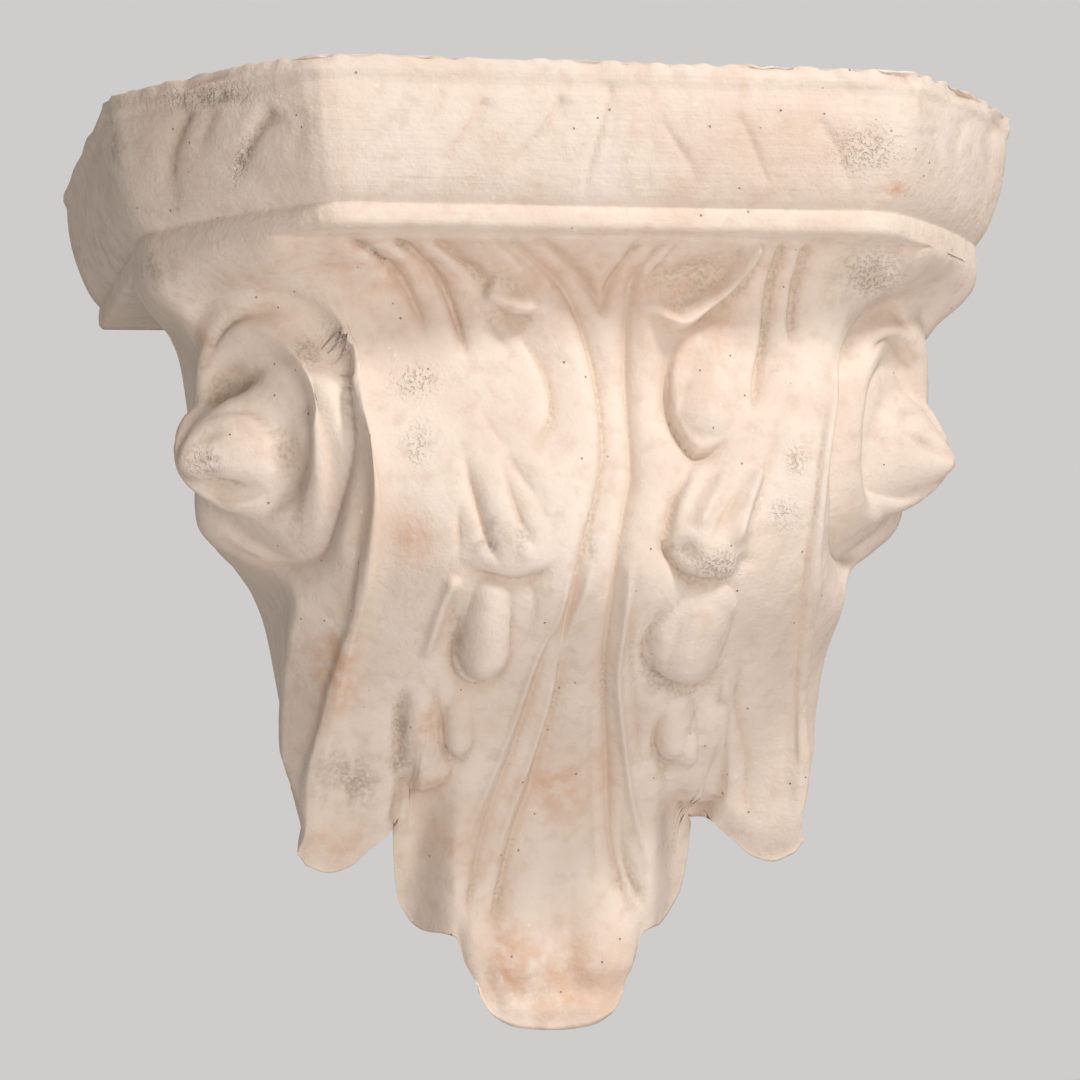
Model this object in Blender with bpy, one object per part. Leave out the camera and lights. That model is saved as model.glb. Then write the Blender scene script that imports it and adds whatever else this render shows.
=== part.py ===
"""Cast plaster wall bracket: a canted moulded shelf carried by a scrolled acanthus leaf.

Metres, +Z up. The wall face lies in the plane y = 0, the front looks along -Y and the
origin is on the wall face, on the middle line, a named distance below the shelf's top.
"""
import bmesh
import bpy
import numpy as np

# Driving sizes, in metres.
HEIGHT = 0.336
DEPTH = 0.231
SHELF_WIDTH = 0.338
SHELF_FRONT = 0.210
CHAMFER_DEPTH = 0.073
ORIGIN_DROP = 0.100

# The shelf's moulding, from the top down, in metres.
FILLET_HEIGHT = 0.0075
FILLET_STEP = 0.0014
OVOLO_HEIGHT = 0.0410
OVOLO_REACH = 0.0135
OVOLO_TURN = 60
LIP_HEIGHT = 0.0090
LIP_STEP = 0.0016
STROKE_DEPTH = 0.0011

# How finely the form is worked out before it is thinned to its faces, and how many are kept. It
# runs on past the top and the wall by the trim, and is then cut off flat at both.
COLUMNS = 250
BODY_ROWS = 190
OVOLO_ROWS = 16
UNDERSIDE_ROWS = 26
FACES_KEPT = 9300
TRIM = 0.010
COLUMN_SHARES = [(0, 0), (.56, 1.0), (.86, 2.0), (1.0, 3.0)]
SHARP_ANGLE = 40

# The carving's own scale: every place on it is a share of these three lengths, in which the
# whole bracket is 0.966 across, 0.66 deep and 0.96 high.
ACROSS = SHELF_WIDTH / 0.966
INWARD = DEPTH / 0.66
DOWN = HEIGHT / 0.96
BEHIND = (DEPTH + TRIM) / INWARD

# The shelf in those shares. Its cants bow out, and its right half was cast a little wider. Along
# the cants the body starts flush with the lip and leaves it over the blend.
SHELF_FALL = (FILLET_HEIGHT + OVOLO_HEIGHT + LIP_HEIGHT) / DOWN
FILLET_END = 1.2 * FILLET_HEIGHT / DOWN
LIP_INSET = (FILLET_STEP + OVOLO_REACH - LIP_STEP) / INWARD
LIP_BLEND = .060
BESIDE_FRONT = (1.0, 1.35)
BESIDE_WALL = (2.10, 2.75)
CANT_BOW = .012
RIGHT_STRETCH = 1.02
CORNER_ROUNDING = .06
TOP_EDGE = [(-.001, .003), (.001, .0012), (.005, 0)]
LIP_ROUNDING = [(.12, .6), (.25, .15), (.45, 0), (.70, 0), (.88, .25), (1.0, 1.1)]

# Weights of a point and of its neighbours to either side, wherever a bend is made softer.
SMOOTHING = ((-1, .25), (0, .5), (1, .25))

# Horizontal sections of the plain body, as stations of (fall, distance): y of the middle, x and y
# of the scroll's bead and of its outer edge, and half width where the flank meets the wall. Bends
# are spread by a reach down the body, by another down its edges, and by a third round it.
BODY_REACH = .030
EDGE_REACH = .012
ROUND_REACH = .08
MIDDLE_Y = [(.165, .050), (.21, .060), (.26, .076), (.31, .086), (.376, .085), (.45, .082), (.508, .095),
            (.56, .145), (.606, .205), (.65, .265), (.686, .312), (.722, .342), (.78, .368), (.853, .387),
            (.90, .392), (.93, .390), (.95, .376), (.965, .372)]
BEAD_X = [(.165, .275), (.21, .276), (.259, .271), (.291, .257), (.354, .237), (.415, .227), (.463, .227),
          (.53, .235), (.596, .246), (.656, .255), (.708, .268), (.80, .270)]
BEAD_Y = [(.165, .075), (.21, .112), (.259, .129), (.291, .124), (.354, .106), (.415, .108), (.463, .133),
          (.50, .158), (.53, .182), (.567, .228), (.596, .257), (.656, .304), (.708, .329), (.80, .360)]
EDGE_X = [(.165, .446), (.197, .434), (.220, .414), (.240, .400), (.264, .390), (.403, .392), (.430, .388),
          (.450, .370), (.468, .340), (.488, .310), (.515, .298), (.60, .297), (.696, .294), (.80, .285)]
EDGE_Y = [(.165, .220), (.264, .232), (.403, .294), (.430, .303), (.450, .306), (.470, .285), (.490, .248),
          (.515, .240), (.552, .289), (.591, .333), (.643, .360), (.80, .372)]
WALL_X = [(.156, .372), (.198, .354), (.262, .345), (.359, .330), (.431, .294), (.463, .278), (.497, .264),
          (.577, .249), (.66, .235), (.80, .210)]

# The leaf's lower outline as (place round the body, fall): tip, second lobe, gap and side lobe.
LEAF_OUTLINE = [(0, .962), (.14, .958), (.24, .947), (.315, .920), (.345, .876), (.37, .862), (.43, .856),
                (.50, .853), (.550, .845), (.585, .825), (.605, .785), (.622, .738), (.66, .738), (.70, .754),
                (.76, .768), (.83, .784), (.90, .789), (.97, .784), (1.1, .770), (1.3, .750), (1.6, .725),
                (2.0, .685), (2.4, .640), (3.0, .590)]
LEAF_REACH = [(0, .962), (.5, .900), (.8, .840), (1.0, .810), (2.0, .760), (3.0, .640)]

# Behind the side lobes the leaf is tucked in, inwards and back, over these places and falls.
LEAF_TUCK = (.012, .060)
TUCK_PLACES = (.38, .60, .63, .69)
TUCK_FALLS = (.64, .75)

# The leaf's rounded lower edge: how much is taken off it, and the share down where that starts.
EDGE_ROUNDING = .012
EDGE_START = .90

# Where the carving of the leaf, of its side lobes and of the scroll's face lies on the body.
LEAF_PLACES = (.94, 1.02)
LOBE_PLACES = (1.5, 1.9)
LOBE_FALLS = (.60, .68)
FACE_PLACES = (.88, 1.04, 2.0, 2.25)
CARVING_TOP = .02

# Where the underside meets the wall, and the bend of its way there from the leaf's edge.
WALL_END = [(0, .700), (1.0, .690), (2.0, .675), (3.0, .650)]
UNDER_FREE = (2.6, 3.0)
UNDER_BEND = (.95, .30, .08)

# Carved strokes on the ovolo: (place along the shelf, lean in places, length as a share), the
# width of a stroke, the soft bank beside it, and where they stop short of the wall.
STROKE_WIDTH = .018
STROKE_BANK = (.6, .05, .035)
STROKE_ENDS = .12
STROKE_PLACES = (2.9, 2.99)
STROKES = [(-.72, .17, .70), (-.43, .17, .75), (-.15, .15, .80), (.04, .02, .90), (.30, -.12, .75),
           (.58, -.10, .62), (.84, -.11, .70), (1.22, -.05, .80), (1.62, -.05, .85), (-1.3, .08, .75),
           (-1.62, .04, .90), (-2.1, -.10, .85), (-2.5, -.12, .85), (2.2, .08, .85), (2.6, .08, .85)]

# Creases of the leaf: route of (x, fall), depth, and how far each flank opens, left and right.
# A crease fades in and out over shares of its route, and its bottom is rounded a little.
CREASE_FADES = (.06, .20)
CREASE_ROUNDING = .0012
ROUTE_PIECES = 12
CREASES = {
    "left of stem": ([(-.142, .150), (-.086, .190), (-.043, .229), (-.010, .280), (.002, .335), (.003, .390),
                      (-.008, .450), (-.030, .516), (-.032, .580), (-.028, .630), (-.036, .697),
                      (-.058, .759), (-.074, .832), (-.084, .872)], .013, .006, .016),
    "right of stem": ([(.066, .148), (.041, .213), (.036, .276), (.033, .377), (.018, .468), (.012, .563),
                       (.022, .640), (.049, .751), (.066, .831), (.088, .872)], .013, .016, .006),
    "left vein": ([(-.064, .575), (-.072, .671), (-.093, .747), (-.107, .821), (-.113, .854)],
                  .010, .006, .012),
    "right vein": ([(.030, .570), (.067, .679), (.084, .794), (.112, .854)], .010, .012, .006),
    "stem fork left": ([(-.112, .150), (-.045, .192), (-.007, .223), (.010, .256)], .010, .014, .006),
    "stem fork right": ([(.042, .148), (.017, .190), (.004, .231)], .008, .006, .012),
    "left leaf edge": ([(-.262, .150), (-.216, .201), (-.187, .245), (-.163, .290), (-.150, .340),
                        (-.143, .407), (-.137, .446), (-.122, .490)], .012, .010, .008),
    "left leaf rib": ([(-.224, .150), (-.183, .200), (-.163, .235), (-.145, .270), (-.130, .320)],
                      .009, .012, .006),
    "right leaf edge": ([(.230, .150), (.220, .215), (.213, .260), (.196, .323), (.180, .390), (.168, .450),
                         (.158, .500)], .012, .008, .010),
    "right leaf rib": ([(.206, .150), (.196, .215), (.184, .260), (.166, .320), (.146, .366)],
                       .009, .006, .012),
    "under left lobe": ([(-.085, .225), (-.058, .275), (-.046, .325), (-.060, .362), (-.094, .378),
                         (-.122, .350)], .014, .010, .015),
    "under right lobe": ([(.112, .225), (.092, .268), (.077, .310), (.076, .345), (.090, .376), (.112, .380),
                          (.142, .366)], .018, .007, .015),
    "under left second": ([(-.040, .400), (-.034, .460), (-.056, .500), (-.092, .509), (-.126, .485),
                           (-.140, .410)], .014, .010, .014),
    "under right second": ([(.118, .388), (.086, .430), (.062, .478), (.072, .506), (.100, .516),
                            (.152, .498)], .018, .008, .014),
    "under left bud": ([(-.066, .520), (-.080, .582), (-.108, .611), (-.144, .600), (-.158, .530)],
                       .013, .007, .009),
    "under right bud": ([(.096, .516), (.060, .566), (.064, .600), (.108, .613), (.146, .596), (.156, .524)],
                        .013, .008, .009),
    "under left drop": ([(-.096, .615), (-.102, .660), (-.118, .683), (-.138, .664), (-.158, .600)],
                        .010, .006, .007),
    "under right drop": ([(.088, .612), (.092, .664), (.108, .690), (.130, .668), (.144, .612)],
                         .010, .006, .007),
}

# Hooked rims over the leaf's eyes: route of (x, fall), height and half width. At its end a rim
# sinks to a share of its height.
RIM_FADE = .15
RIM_LEAST = .35
RIMS = {
    "left eye": ([(-.180, .167), (-.156, .190), (-.133, .210), (-.108, .216), (-.083, .234), (-.058, .236)],
                 .014, .010),
    "right eye": ([(.153, .167), (.149, .190), (.141, .210), (.118, .234), (.092, .247), (.062, .241)],
                  .015, .010),
}

# Swellings: start and end as (x, fall, radius), and height. A negative height is a hollow. They
# spread a little past their radius, and start at a share of their height.
SWELLING_SPREAD = 1.35
SWELLING_START = .45
SWELLINGS = {
    "left eye cove": ((-.110, .178, .026), (-.080, .205, .030), -.014),
    "right eye cove": ((.115, .186, .030), (.085, .214, .026), -.016),
    "left eye hollow": ((-.106, .246, .020), (-.080, .276, .026), -.010),
    "right eye hollow": ((.128, .252, .020), (.100, .290, .026), -.012),
    "left first lobe": ((-.125, .290, .020), (-.096, .350, .030), .006),
    "right first lobe": ((.150, .280, .018), (.112, .350, .028), .010),
    "left second lobe": ((-.120, .400, .022), (-.088, .470, .042), .008),
    "right second lobe": ((.140, .400, .022), (.104, .476, .040), .010),
    "left bud": ((-.126, .530, .022), (-.116, .572, .032), .018),
    "right bud": ((.124, .535, .022), (.108, .574, .036), .018),
    "left drop": ((-.130, .618, .014), (-.119, .652, .022), .009),
    "right drop": ((.118, .622, .014), (.112, .656, .022), .009),
    "left end lobe": ((-.160, .640, .020), (-.152, .690, .032), .014),
    "right end lobe": ((.156, .640, .020), (.148, .695, .034), .014),
    "tip left": ((-.040, .830, .030), (-.038, .905, .048), .014),
    "tip right": ((.046, .830, .030), (.046, .905, .048), .014),
    "left side lobe": ((-.246, .670, .022), (-.243, .745, .046), .016),
    "right side lobe": ((.246, .670, .022), (.243, .745, .046), .016),
}

# The scroll: centre of its face as (distance along the face, fall), its two radii, and the
# direction in which the face runs. Rings lie at shares of the radii: a crease that opens inwards
# and outwards, a roll inside it and a weaker crease inside that. The crease is open at the back.
SCROLL_CENTRE = (.367, .338)
SCROLL_RADII = (.100, .134)
FACE_ALONG = (.64, .77)
CREASE_DEPTH = .016
CREASE_FLANKS = (.16, .10)
CREASE_OPEN = (.3, .8)
ROLL_HEIGHT = .014
ROLL_RING = (.72, .17)
INNER_DEPTH = .008
INNER_RING = (.50, .10)
SCROLL_FALLS = (.50, .56)

# The bead down the scroll's front edge: where it starts and ends, its crest, and the crease on
# the leaf's side of it, each with its distance from the edge and its half width.
BEAD_FALLS = (.24, .33, .66, .76)
BEAD_CREST = (.012, .004, .012)
BEAD_CREASE = (.006, -.014, .006)

# The scroll's eye: a blunt cone of a radius, drawn out sideways, forwards and down.
EYE_CENTRE = (.398, .362)
EYE_RADIUS = .064
EYE_REACH = (.067, -.016, -.014)
EYE_SQUASH = .9
EYE_BLUNTNESS = .035
EYE_RIM = (.80, 1.0)


def curve(stations, at):
    """A smooth curve through (place, value) stations that never runs past them."""
    place, value = np.array(stations, float).T
    step = np.diff(place)
    slope = np.diff(value) / step
    tangent = np.zeros(len(place))
    turning = slope[:-1] * slope[1:] <= 0
    first, second = 2 * step[1:] + step[:-1], step[1:] + 2 * step[:-1]
    safe = np.where(slope == 0, 1, slope)
    ease = np.where(turning, 1, first / safe[:-1] + second / safe[1:])
    tangent[1:-1] = np.where(turning, 0, (first + second) / ease)
    tangent[0], tangent[-1] = slope[0], slope[-1]
    at = np.clip(at, place[0], place[-1])
    i = np.clip(np.searchsorted(place, at) - 1, 0, len(step) - 1)
    t = (at - place[i]) / step[i]
    rise = value[i] * (1 + 2 * t) * (1 - t) ** 2 + value[i + 1] * t * t * (3 - 2 * t)
    return rise + step[i] * (tangent[i] * t * (1 - t) ** 2 + tangent[i + 1] * t * t * (t - 1))


def soft_curve(stations, at, reach):
    """The same curve with its bends spread over a reach to either side."""
    return sum(curve(stations, at + reach * shift) for shift in (-1, -.5, 0, .5, 1)) / 5


def smooth_step(low, high, at):
    """Rises softly from 0 at low to 1 at high."""
    t = np.clip((at - low) / (high - low), 0, 1)
    return t * t * (3 - 2 * t)


def body_section(place, fall):
    """The plain body: place is 0 in the middle, 1 on the bead, 2 on the edge, 3 at the wall."""
    side = np.where(place < 0, -1.0, 1.0)
    bead_x, bead_y, middle_y = (soft_curve(line, fall, BODY_REACH) for line in (BEAD_X, BEAD_Y, MIDDLE_Y))
    edge_x, edge_y, wall_x = (soft_curve(line, fall, EDGE_REACH) for line in (EDGE_X, EDGE_Y, WALL_X))
    x, y = np.zeros(fall.shape), np.zeros(fall.shape)
    for shift, weight in SMOOTHING:
        shifted = place + shift * ROUND_REACH * side
        round_it = np.clip(np.abs(shifted), 0, 3)
        back = np.sign(np.where(np.abs(place) < ROUND_REACH, shifted, place))
        front, face, flank = (np.clip(round_it - start, 0, 1) for start in (0, 1, 2))
        x += weight * back * (bead_x * front + (edge_x - bead_x) * face + (wall_x - edge_x) * flank)
        y += weight * (middle_y + (bead_y - middle_y) * front ** 2 + (edge_y - bead_y) * face
                       + (BEHIND - edge_y) * flank)
    return x, y


def route_points(route):
    """Points close together along a smooth route through its own points."""
    points = np.array(route, float)
    place = np.arange(len(points))
    fine = np.linspace(0, len(points) - 1, (len(points) - 1) * ROUTE_PIECES + 1)
    return np.stack([curve(np.stack([place, points[:, k]], 1), fine) for k in range(2)], 1)


def distance_to_route(x, fall, route):
    """Signed distance to a route (positive on its left) and the share of the route passed."""
    points = route_points(route)
    best = np.full(x.shape, np.inf)
    signed, passed = np.zeros(x.shape), np.zeros(x.shape)
    for i, (start, end) in enumerate(zip(points[:-1], points[1:])):
        along = end - start
        t = np.clip(((x - start[0]) * along[0] + (fall - start[1]) * along[1]) / (along @ along), 0, 1)
        dx, df = x - start[0] - t * along[0], fall - start[1] - t * along[1]
        away = np.hypot(dx, df)
        nearer = away < best
        best = np.where(nearer, away, best)
        signed = np.where(nearer, np.where(along[0] * df > along[1] * dx, away, -away), signed)
        passed = np.where(nearer, (i + t) / (len(points) - 1), passed)
    return signed, passed


def crease(x, fall, route, depth, left_flank, right_flank):
    """A valley with a sharp bottom; seen from the front, each flank opens by its own width."""
    signed, passed = distance_to_route(x, fall, route)
    flank = np.where(signed > 0, left_flank, right_flank)
    ends = smooth_step(0, CREASE_FADES[0], passed) * smooth_step(0, CREASE_FADES[1], 1 - passed)
    return -depth * ends * np.exp(-np.hypot(signed, CREASE_ROUNDING) / flank)


def rim(x, fall, route, height, half_width):
    """A rounded ridge along a route."""
    signed, passed = distance_to_route(x, fall, route)
    full = RIM_LEAST + (1 - RIM_LEAST) * smooth_step(0, RIM_FADE, 1 - passed)
    return height * full * np.exp(-(signed / half_width) ** 2)


def swelling(x, fall, start, end, height):
    """A drop-shaped dome between two discs."""
    along = np.array(end[:2]) - np.array(start[:2])
    t = np.clip(((x - start[0]) * along[0] + (fall - start[1]) * along[1]) / (along @ along), 0, 1)
    radius = SWELLING_SPREAD * (start[2] + (end[2] - start[2]) * t)
    away = np.hypot(x - start[0] - t * along[0], fall - start[1] - t * along[1]) / radius
    dome = np.clip(1 - away ** 2, 0, 1) ** 1.5
    return height * dome * (SWELLING_START + (1 - SWELLING_START) * t)


def leaf_relief(x, fall):
    """How far the leaf's carving stands out from the plain body."""
    out = np.zeros(x.shape)
    for start, end, height in SWELLINGS.values():
        out += swelling(x, fall, start, end, height)
    for route, height, half_width in RIMS.values():
        out += rim(x, fall, route, height, half_width)
    for route, depth, left_flank, right_flank in CREASES.values():
        out += crease(x, fall, route, depth, left_flank, right_flank)
    return out


def scroll_relief(along, fall):
    """The scroll's rings: a crease round the roll, and a second roll inside it."""
    u = (along - SCROLL_CENTRE[0]) / SCROLL_RADII[0]
    v = (fall - SCROLL_CENTRE[1]) / SCROLL_RADII[1]
    ring = np.hypot(u, v)
    flank = np.where(ring > 1, CREASE_FLANKS[1], CREASE_FLANKS[0])
    outer = -CREASE_DEPTH * np.exp(-np.abs(ring - 1) / flank) * (1 - .8 * smooth_step(*CREASE_OPEN, u))
    roll = ROLL_HEIGHT * np.exp(-((ring - ROLL_RING[0]) / ROLL_RING[1]) ** 2)
    inner = -INNER_DEPTH * np.exp(-np.abs(ring - INNER_RING[0]) / INNER_RING[1])
    return (outer + roll + inner) * (1 - smooth_step(*SCROLL_FALLS, fall))


def bead_relief(place, fall):
    """The rounded bead down the scroll's front edge, with a crease on the leaf's side of it."""
    face = np.hypot(curve(EDGE_X, fall) - curve(BEAD_X, fall), curve(EDGE_Y, fall) - curve(BEAD_Y, fall))
    past = np.abs(place) - 1
    away = past * np.where(past > 0, face, curve(BEAD_X, fall))
    fade = smooth_step(*BEAD_FALLS[:2], fall) * (1 - smooth_step(*BEAD_FALLS[2:], fall))
    height, middle, half = BEAD_CREST
    crest = height * np.exp(-((away - middle) / half) ** 2)
    depth, middle, half = BEAD_CREASE
    return fade * (crest - depth * np.exp(-np.abs(away - middle) / half))


def eye_push(along, fall):
    """How much of the eye's cone each place carries, from 0 to 1."""
    away = np.hypot(along - EYE_CENTRE[0], (fall - EYE_CENTRE[1]) * EYE_SQUASH) / EYE_RADIUS
    rim_height = np.hypot(1, EYE_BLUNTNESS ** .5)
    cone = (rim_height - np.sqrt(away ** 2 + EYE_BLUNTNESS)) / (rim_height - EYE_BLUNTNESS ** .5)
    return np.clip(cone, 0, 1) * (1 - smooth_step(*EYE_RIM, away))


def under_lip(place, fall, x, y):
    """The same section, set flush with the shelf's lip along the cants and let go below it."""
    lip_x, lip_y = shelf_outline(place, LIP_INSET)
    beside = smooth_step(*BESIDE_FRONT, np.abs(place)) * (1 - smooth_step(*BESIDE_WALL, np.abs(place)))
    flush = beside * (1 - smooth_step(SHELF_FALL, SHELF_FALL + LIP_BLEND, fall))
    return x + flush * (lip_x - x), y + flush * (lip_y - y)


def body_points(place, share):
    """The carved body's points for a grid of places round it and shares down it."""
    side, round_it = np.where(place < 0, -1.0, 1.0), np.abs(place)
    reach, outline = curve(LEAF_REACH, round_it), curve(LEAF_OUTLINE, round_it)
    fall = SHELF_FALL + (reach - SHELF_FALL) * share - (reach - outline) * share ** 4
    x, y = under_lip(place, fall, *body_section(place, fall))
    normal = section_normal(x, y)
    on_face = smooth_step(*FACE_PLACES[:2], round_it) * (1 - smooth_step(*FACE_PLACES[2:], round_it))
    on_leaf = 1 - smooth_step(*LEAF_PLACES, round_it)
    on_lobe = (1 - smooth_step(*LOBE_PLACES, round_it)) * smooth_step(*LOBE_FALLS, fall)
    below_top = smooth_step(SHELF_FALL, SHELF_FALL + CARVING_TOP, fall)
    along = FACE_ALONG[0] * np.abs(x) + FACE_ALONG[1] * y
    out = leaf_relief(x, fall) * np.maximum(on_leaf, on_lobe) * below_top
    out += scroll_relief(along, fall) * on_face * below_top + bead_relief(place, fall)
    out -= EDGE_ROUNDING * smooth_step(EDGE_START, 1.0, share) ** 2
    eye = eye_push(along, fall) * on_face
    tuck = smooth_step(*TUCK_PLACES[:2], round_it) * (1 - smooth_step(*TUCK_PLACES[2:], round_it))
    tuck *= smooth_step(*TUCK_FALLS, fall)
    x = x + normal[0] * out + side * (EYE_REACH[0] * eye - LEAF_TUCK[0] * tuck)
    y = y + LEAF_TUCK[1] * tuck + normal[1] * out + EYE_REACH[1] * eye
    return x, y, fall - EYE_REACH[2] * eye


def section_normal(x, y):
    """Outward horizontal normal of each row of points."""
    tangent_x, tangent_y = np.gradient(x, axis=1), np.gradient(y, axis=1)
    length = np.hypot(tangent_x, tangent_y) + 1e-12
    return tangent_y / length, -tangent_x / length


def shelf_outline(place, inset):
    """The shelf's plan at a given inset: front edge, canted corner and return, mitred."""
    half_front, half_width = SHELF_FRONT / 2 / ACROSS, SHELF_WIDTH / 2 / ACROSS
    cant = np.array([half_width - half_front, CHAMFER_DEPTH / INWARD])
    cant_x, cant_y = cant / np.hypot(*cant)
    corner_x = half_front - inset * (1 - cant_x) / cant_y
    heel_y = cant[1] + inset * (1 - cant_y) / cant_x
    x, y = np.zeros(place.shape), np.zeros(place.shape)
    for shift, weight in SMOOTHING:
        round_it = np.clip(np.abs(place) + shift * CORNER_ROUNDING, 0, 3)
        front, face, flank = (np.clip(round_it - start, 0, 1) for start in (0, 1, 2))
        bow = CANT_BOW * 4 * face * (1 - face)
        x += weight * (corner_x * front + (half_width - inset - corner_x) * face + bow * cant_y)
        y += weight * (inset + (heel_y - inset) * face - bow * cant_x + (BEHIND - heel_y) * flank)
    x = np.where(np.abs(place) < CORNER_ROUNDING, corner_x * np.abs(place), x)
    return x * np.where(place < 0, -1.0, RIGHT_STRETCH), y


def shelf_profile():
    """Rows of the moulding as (fall, inset): worn top edge, fillet, ovolo, groove and lip."""
    reach, step, lip_step = (size / INWARD for size in (OVOLO_REACH, FILLET_STEP, LIP_STEP))
    fillet, lip = FILLET_HEIGHT / DOWN, LIP_HEIGHT / DOWN
    groove, full = SHELF_FALL - lip, np.radians(OVOLO_TURN)
    rows = [(-TRIM / DOWN, TOP_EDGE[0][1])] + TOP_EDGE
    rows += [(fillet * .8, 0), (fillet, step * .5), (FILLET_END, step)]
    for turn in np.linspace(0, full, OVOLO_ROWS + 1)[1:]:
        fall = FILLET_END + (groove - FILLET_END) * np.sin(turn) / np.sin(full)
        rows.append((fall, step + reach * (1 - np.cos(turn)) / (1 - np.cos(full))))
    rows += [(groove + lip * share, LIP_INSET + lip_step * back) for share, back in LIP_ROUNDING]
    return rows


def stroke_relief(place, share):
    """Shallow hand-cut strokes across the ovolo; share is 0 at its top and 1 at the groove."""
    out = np.zeros(place.shape)
    bank, bank_away, bank_half = STROKE_BANK
    for middle, lean, length in STROKES:
        away = place - middle - lean * (.5 - share)
        across = np.exp(-np.abs(away) / STROKE_WIDTH) - bank * np.exp(-((away + bank_away) / bank_half) ** 2)
        start, end = (1 - length) / 2, (1 + length) / 2
        out += across * smooth_step(0, STROKE_ENDS, share - start) * smooth_step(0, STROKE_ENDS, end - share)
    return out


def shelf_points(place):
    """Rows of the shelf, from its top edge down to the lip."""
    start, end = FILLET_END, SHELF_FALL - LIP_HEIGHT / DOWN
    clear_of_wall = 1 - smooth_step(*STROKE_PLACES, np.abs(place))
    rows = []
    for fall, inset in shelf_profile():
        share = np.full(place.shape, (fall - start) / (end - start))
        on_ovolo = smooth_step(0, STROKE_ENDS, share) * smooth_step(0, STROKE_ENDS, 1 - share)
        cut = stroke_relief(place, share) * on_ovolo * clear_of_wall * STROKE_DEPTH / INWARD
        rows.append((*shelf_outline(place, inset + cut), np.full(place.shape, fall)))
    return tuple(np.array(part) for part in zip(*rows))


def underside_points(place, x, y, fall):
    """Rows from the leaf's lower edge, back and up to where the bracket leaves the wall."""
    place = place[None, :]
    wall_fall = curve(WALL_END, np.abs(place))
    wall_x = np.clip(place / 3, -1, 1) * curve(WALL_X, wall_fall)
    t = (np.arange(1, UNDERSIDE_ROWS + 1) / UNDERSIDE_ROWS)[:, None]
    free = 1 - smooth_step(*UNDER_FREE, np.abs(place))
    narrower, back, rise = UNDER_BEND
    mid_x, mid_y, mid_fall = x * narrower, y + back * free * (BEHIND - y), fall - rise * free
    start, bend, end = (1 - t) ** 2, 2 * t * (1 - t), t * t
    rows_x = start * x + bend * mid_x + end * wall_x
    rows_y = start * y + bend * mid_y + end * BEHIND
    rows_fall = start * fall + bend * mid_fall + end * wall_fall
    return rows_x, rows_y, rows_fall


def column_places():
    """Places round the body, closer together where the carving is."""
    half = COLUMNS // 2
    right = curve(COLUMN_SHARES, np.arange(half + 1) / half)
    return np.concatenate([-right[:0:-1], right])


def carved_grid():
    """All rows of the outside, from the shelf's top edge to the wall below, in metres."""
    place = column_places()
    places, down = np.meshgrid(place, np.linspace(0, 1, BODY_ROWS + 1))
    body = body_points(places, down)
    shelf = shelf_points(place)
    under = underside_points(place, *(rows[-1:] for rows in body))
    x, y, fall = (np.concatenate(part) for part in zip(shelf, body, under))
    return x * ACROSS, y * INWARD - DEPTH, ORIGIN_DROP - fall * DOWN


def closed_mesh(name):
    """The grid's faces, closed above and behind, both a little past where they are trimmed."""
    x, y, z = carved_grid()
    rows, columns = x.shape
    form = bmesh.new()
    verts = [[form.verts.new((x[r, c], y[r, c], z[r, c])) for c in range(columns)] for r in range(rows)]
    for r in range(rows - 1):
        for c in range(columns - 1):
            form.faces.new((verts[r][c], verts[r + 1][c], verts[r + 1][c + 1], verts[r][c + 1]))
    form.faces.new(verts[0])
    left = [verts[r][0] for r in range(rows)]
    right = [verts[r][-1] for r in range(rows)]
    form.faces.new(left[::-1] + right + verts[-1][-2:0:-1])
    bmesh.ops.triangulate(form, faces=form.faces[:])
    bmesh.ops.recalc_face_normals(form, faces=form.faces[:])
    mesh = bpy.data.meshes.new(name)
    form.to_mesh(mesh)
    form.free()
    return mesh


def thinned(mesh):
    """The same form with fewer faces: many where it curves, few where it is plain."""
    carved = bpy.data.objects.new("carved", mesh)
    bpy.context.scene.collection.objects.link(carved)
    thin = carved.modifiers.new("thin", "DECIMATE")
    thin.ratio = FACES_KEPT / len(mesh.polygons)
    seen = carved.evaluated_get(bpy.context.evaluated_depsgraph_get())
    result = bpy.data.meshes.new_from_object(seen)
    bpy.data.objects.remove(carved)
    return result


def trimmed(mesh):
    """Cuts the form off flat on top, for the shelf, and behind, where it meets the wall."""
    form = bmesh.new()
    form.from_mesh(mesh)
    for spot, outward in (((0, 0, ORIGIN_DROP), (0, 0, 1)), ((0, 0, 0), (0, 1, 0))):
        everything = form.verts[:] + form.edges[:] + form.faces[:]
        cut = bmesh.ops.bisect_plane(form, geom=everything, dist=1e-6, plane_co=spot, plane_no=outward,
                                     clear_outer=True)
        rim_edges = [piece for piece in cut["geom_cut"] if isinstance(piece, bmesh.types.BMEdge)]
        bmesh.ops.edgeloop_fill(form, edges=rim_edges)
    bmesh.ops.triangulate(form, faces=form.faces[:])
    bmesh.ops.recalc_face_normals(form, faces=form.faces[:])
    form.to_mesh(mesh)
    form.free()
    return mesh


def plaster():
    """Warm cream cast plaster, dull all over."""
    material = bpy.data.materials.new("plaster")
    material.use_nodes = True
    surface = material.node_tree.nodes["Principled BSDF"]
    surface.inputs["Base Color"].default_value = (.78, .68, .58, 1)
    surface.inputs["Roughness"].default_value = .85
    surface.inputs["Metallic"].default_value = 0
    return material


def build():
    for thing in list(bpy.data.objects):
        bpy.data.objects.remove(thing)
    bracket = bpy.data.objects.new("bracket", trimmed(thinned(closed_mesh("bracket"))))
    bracket.data.materials.append(plaster())
    bracket.data.shade_smooth()
    bracket.data.set_sharp_from_angle(angle=np.radians(SHARP_ANGLE))
    bpy.context.scene.collection.objects.link(bracket)


build()
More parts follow.
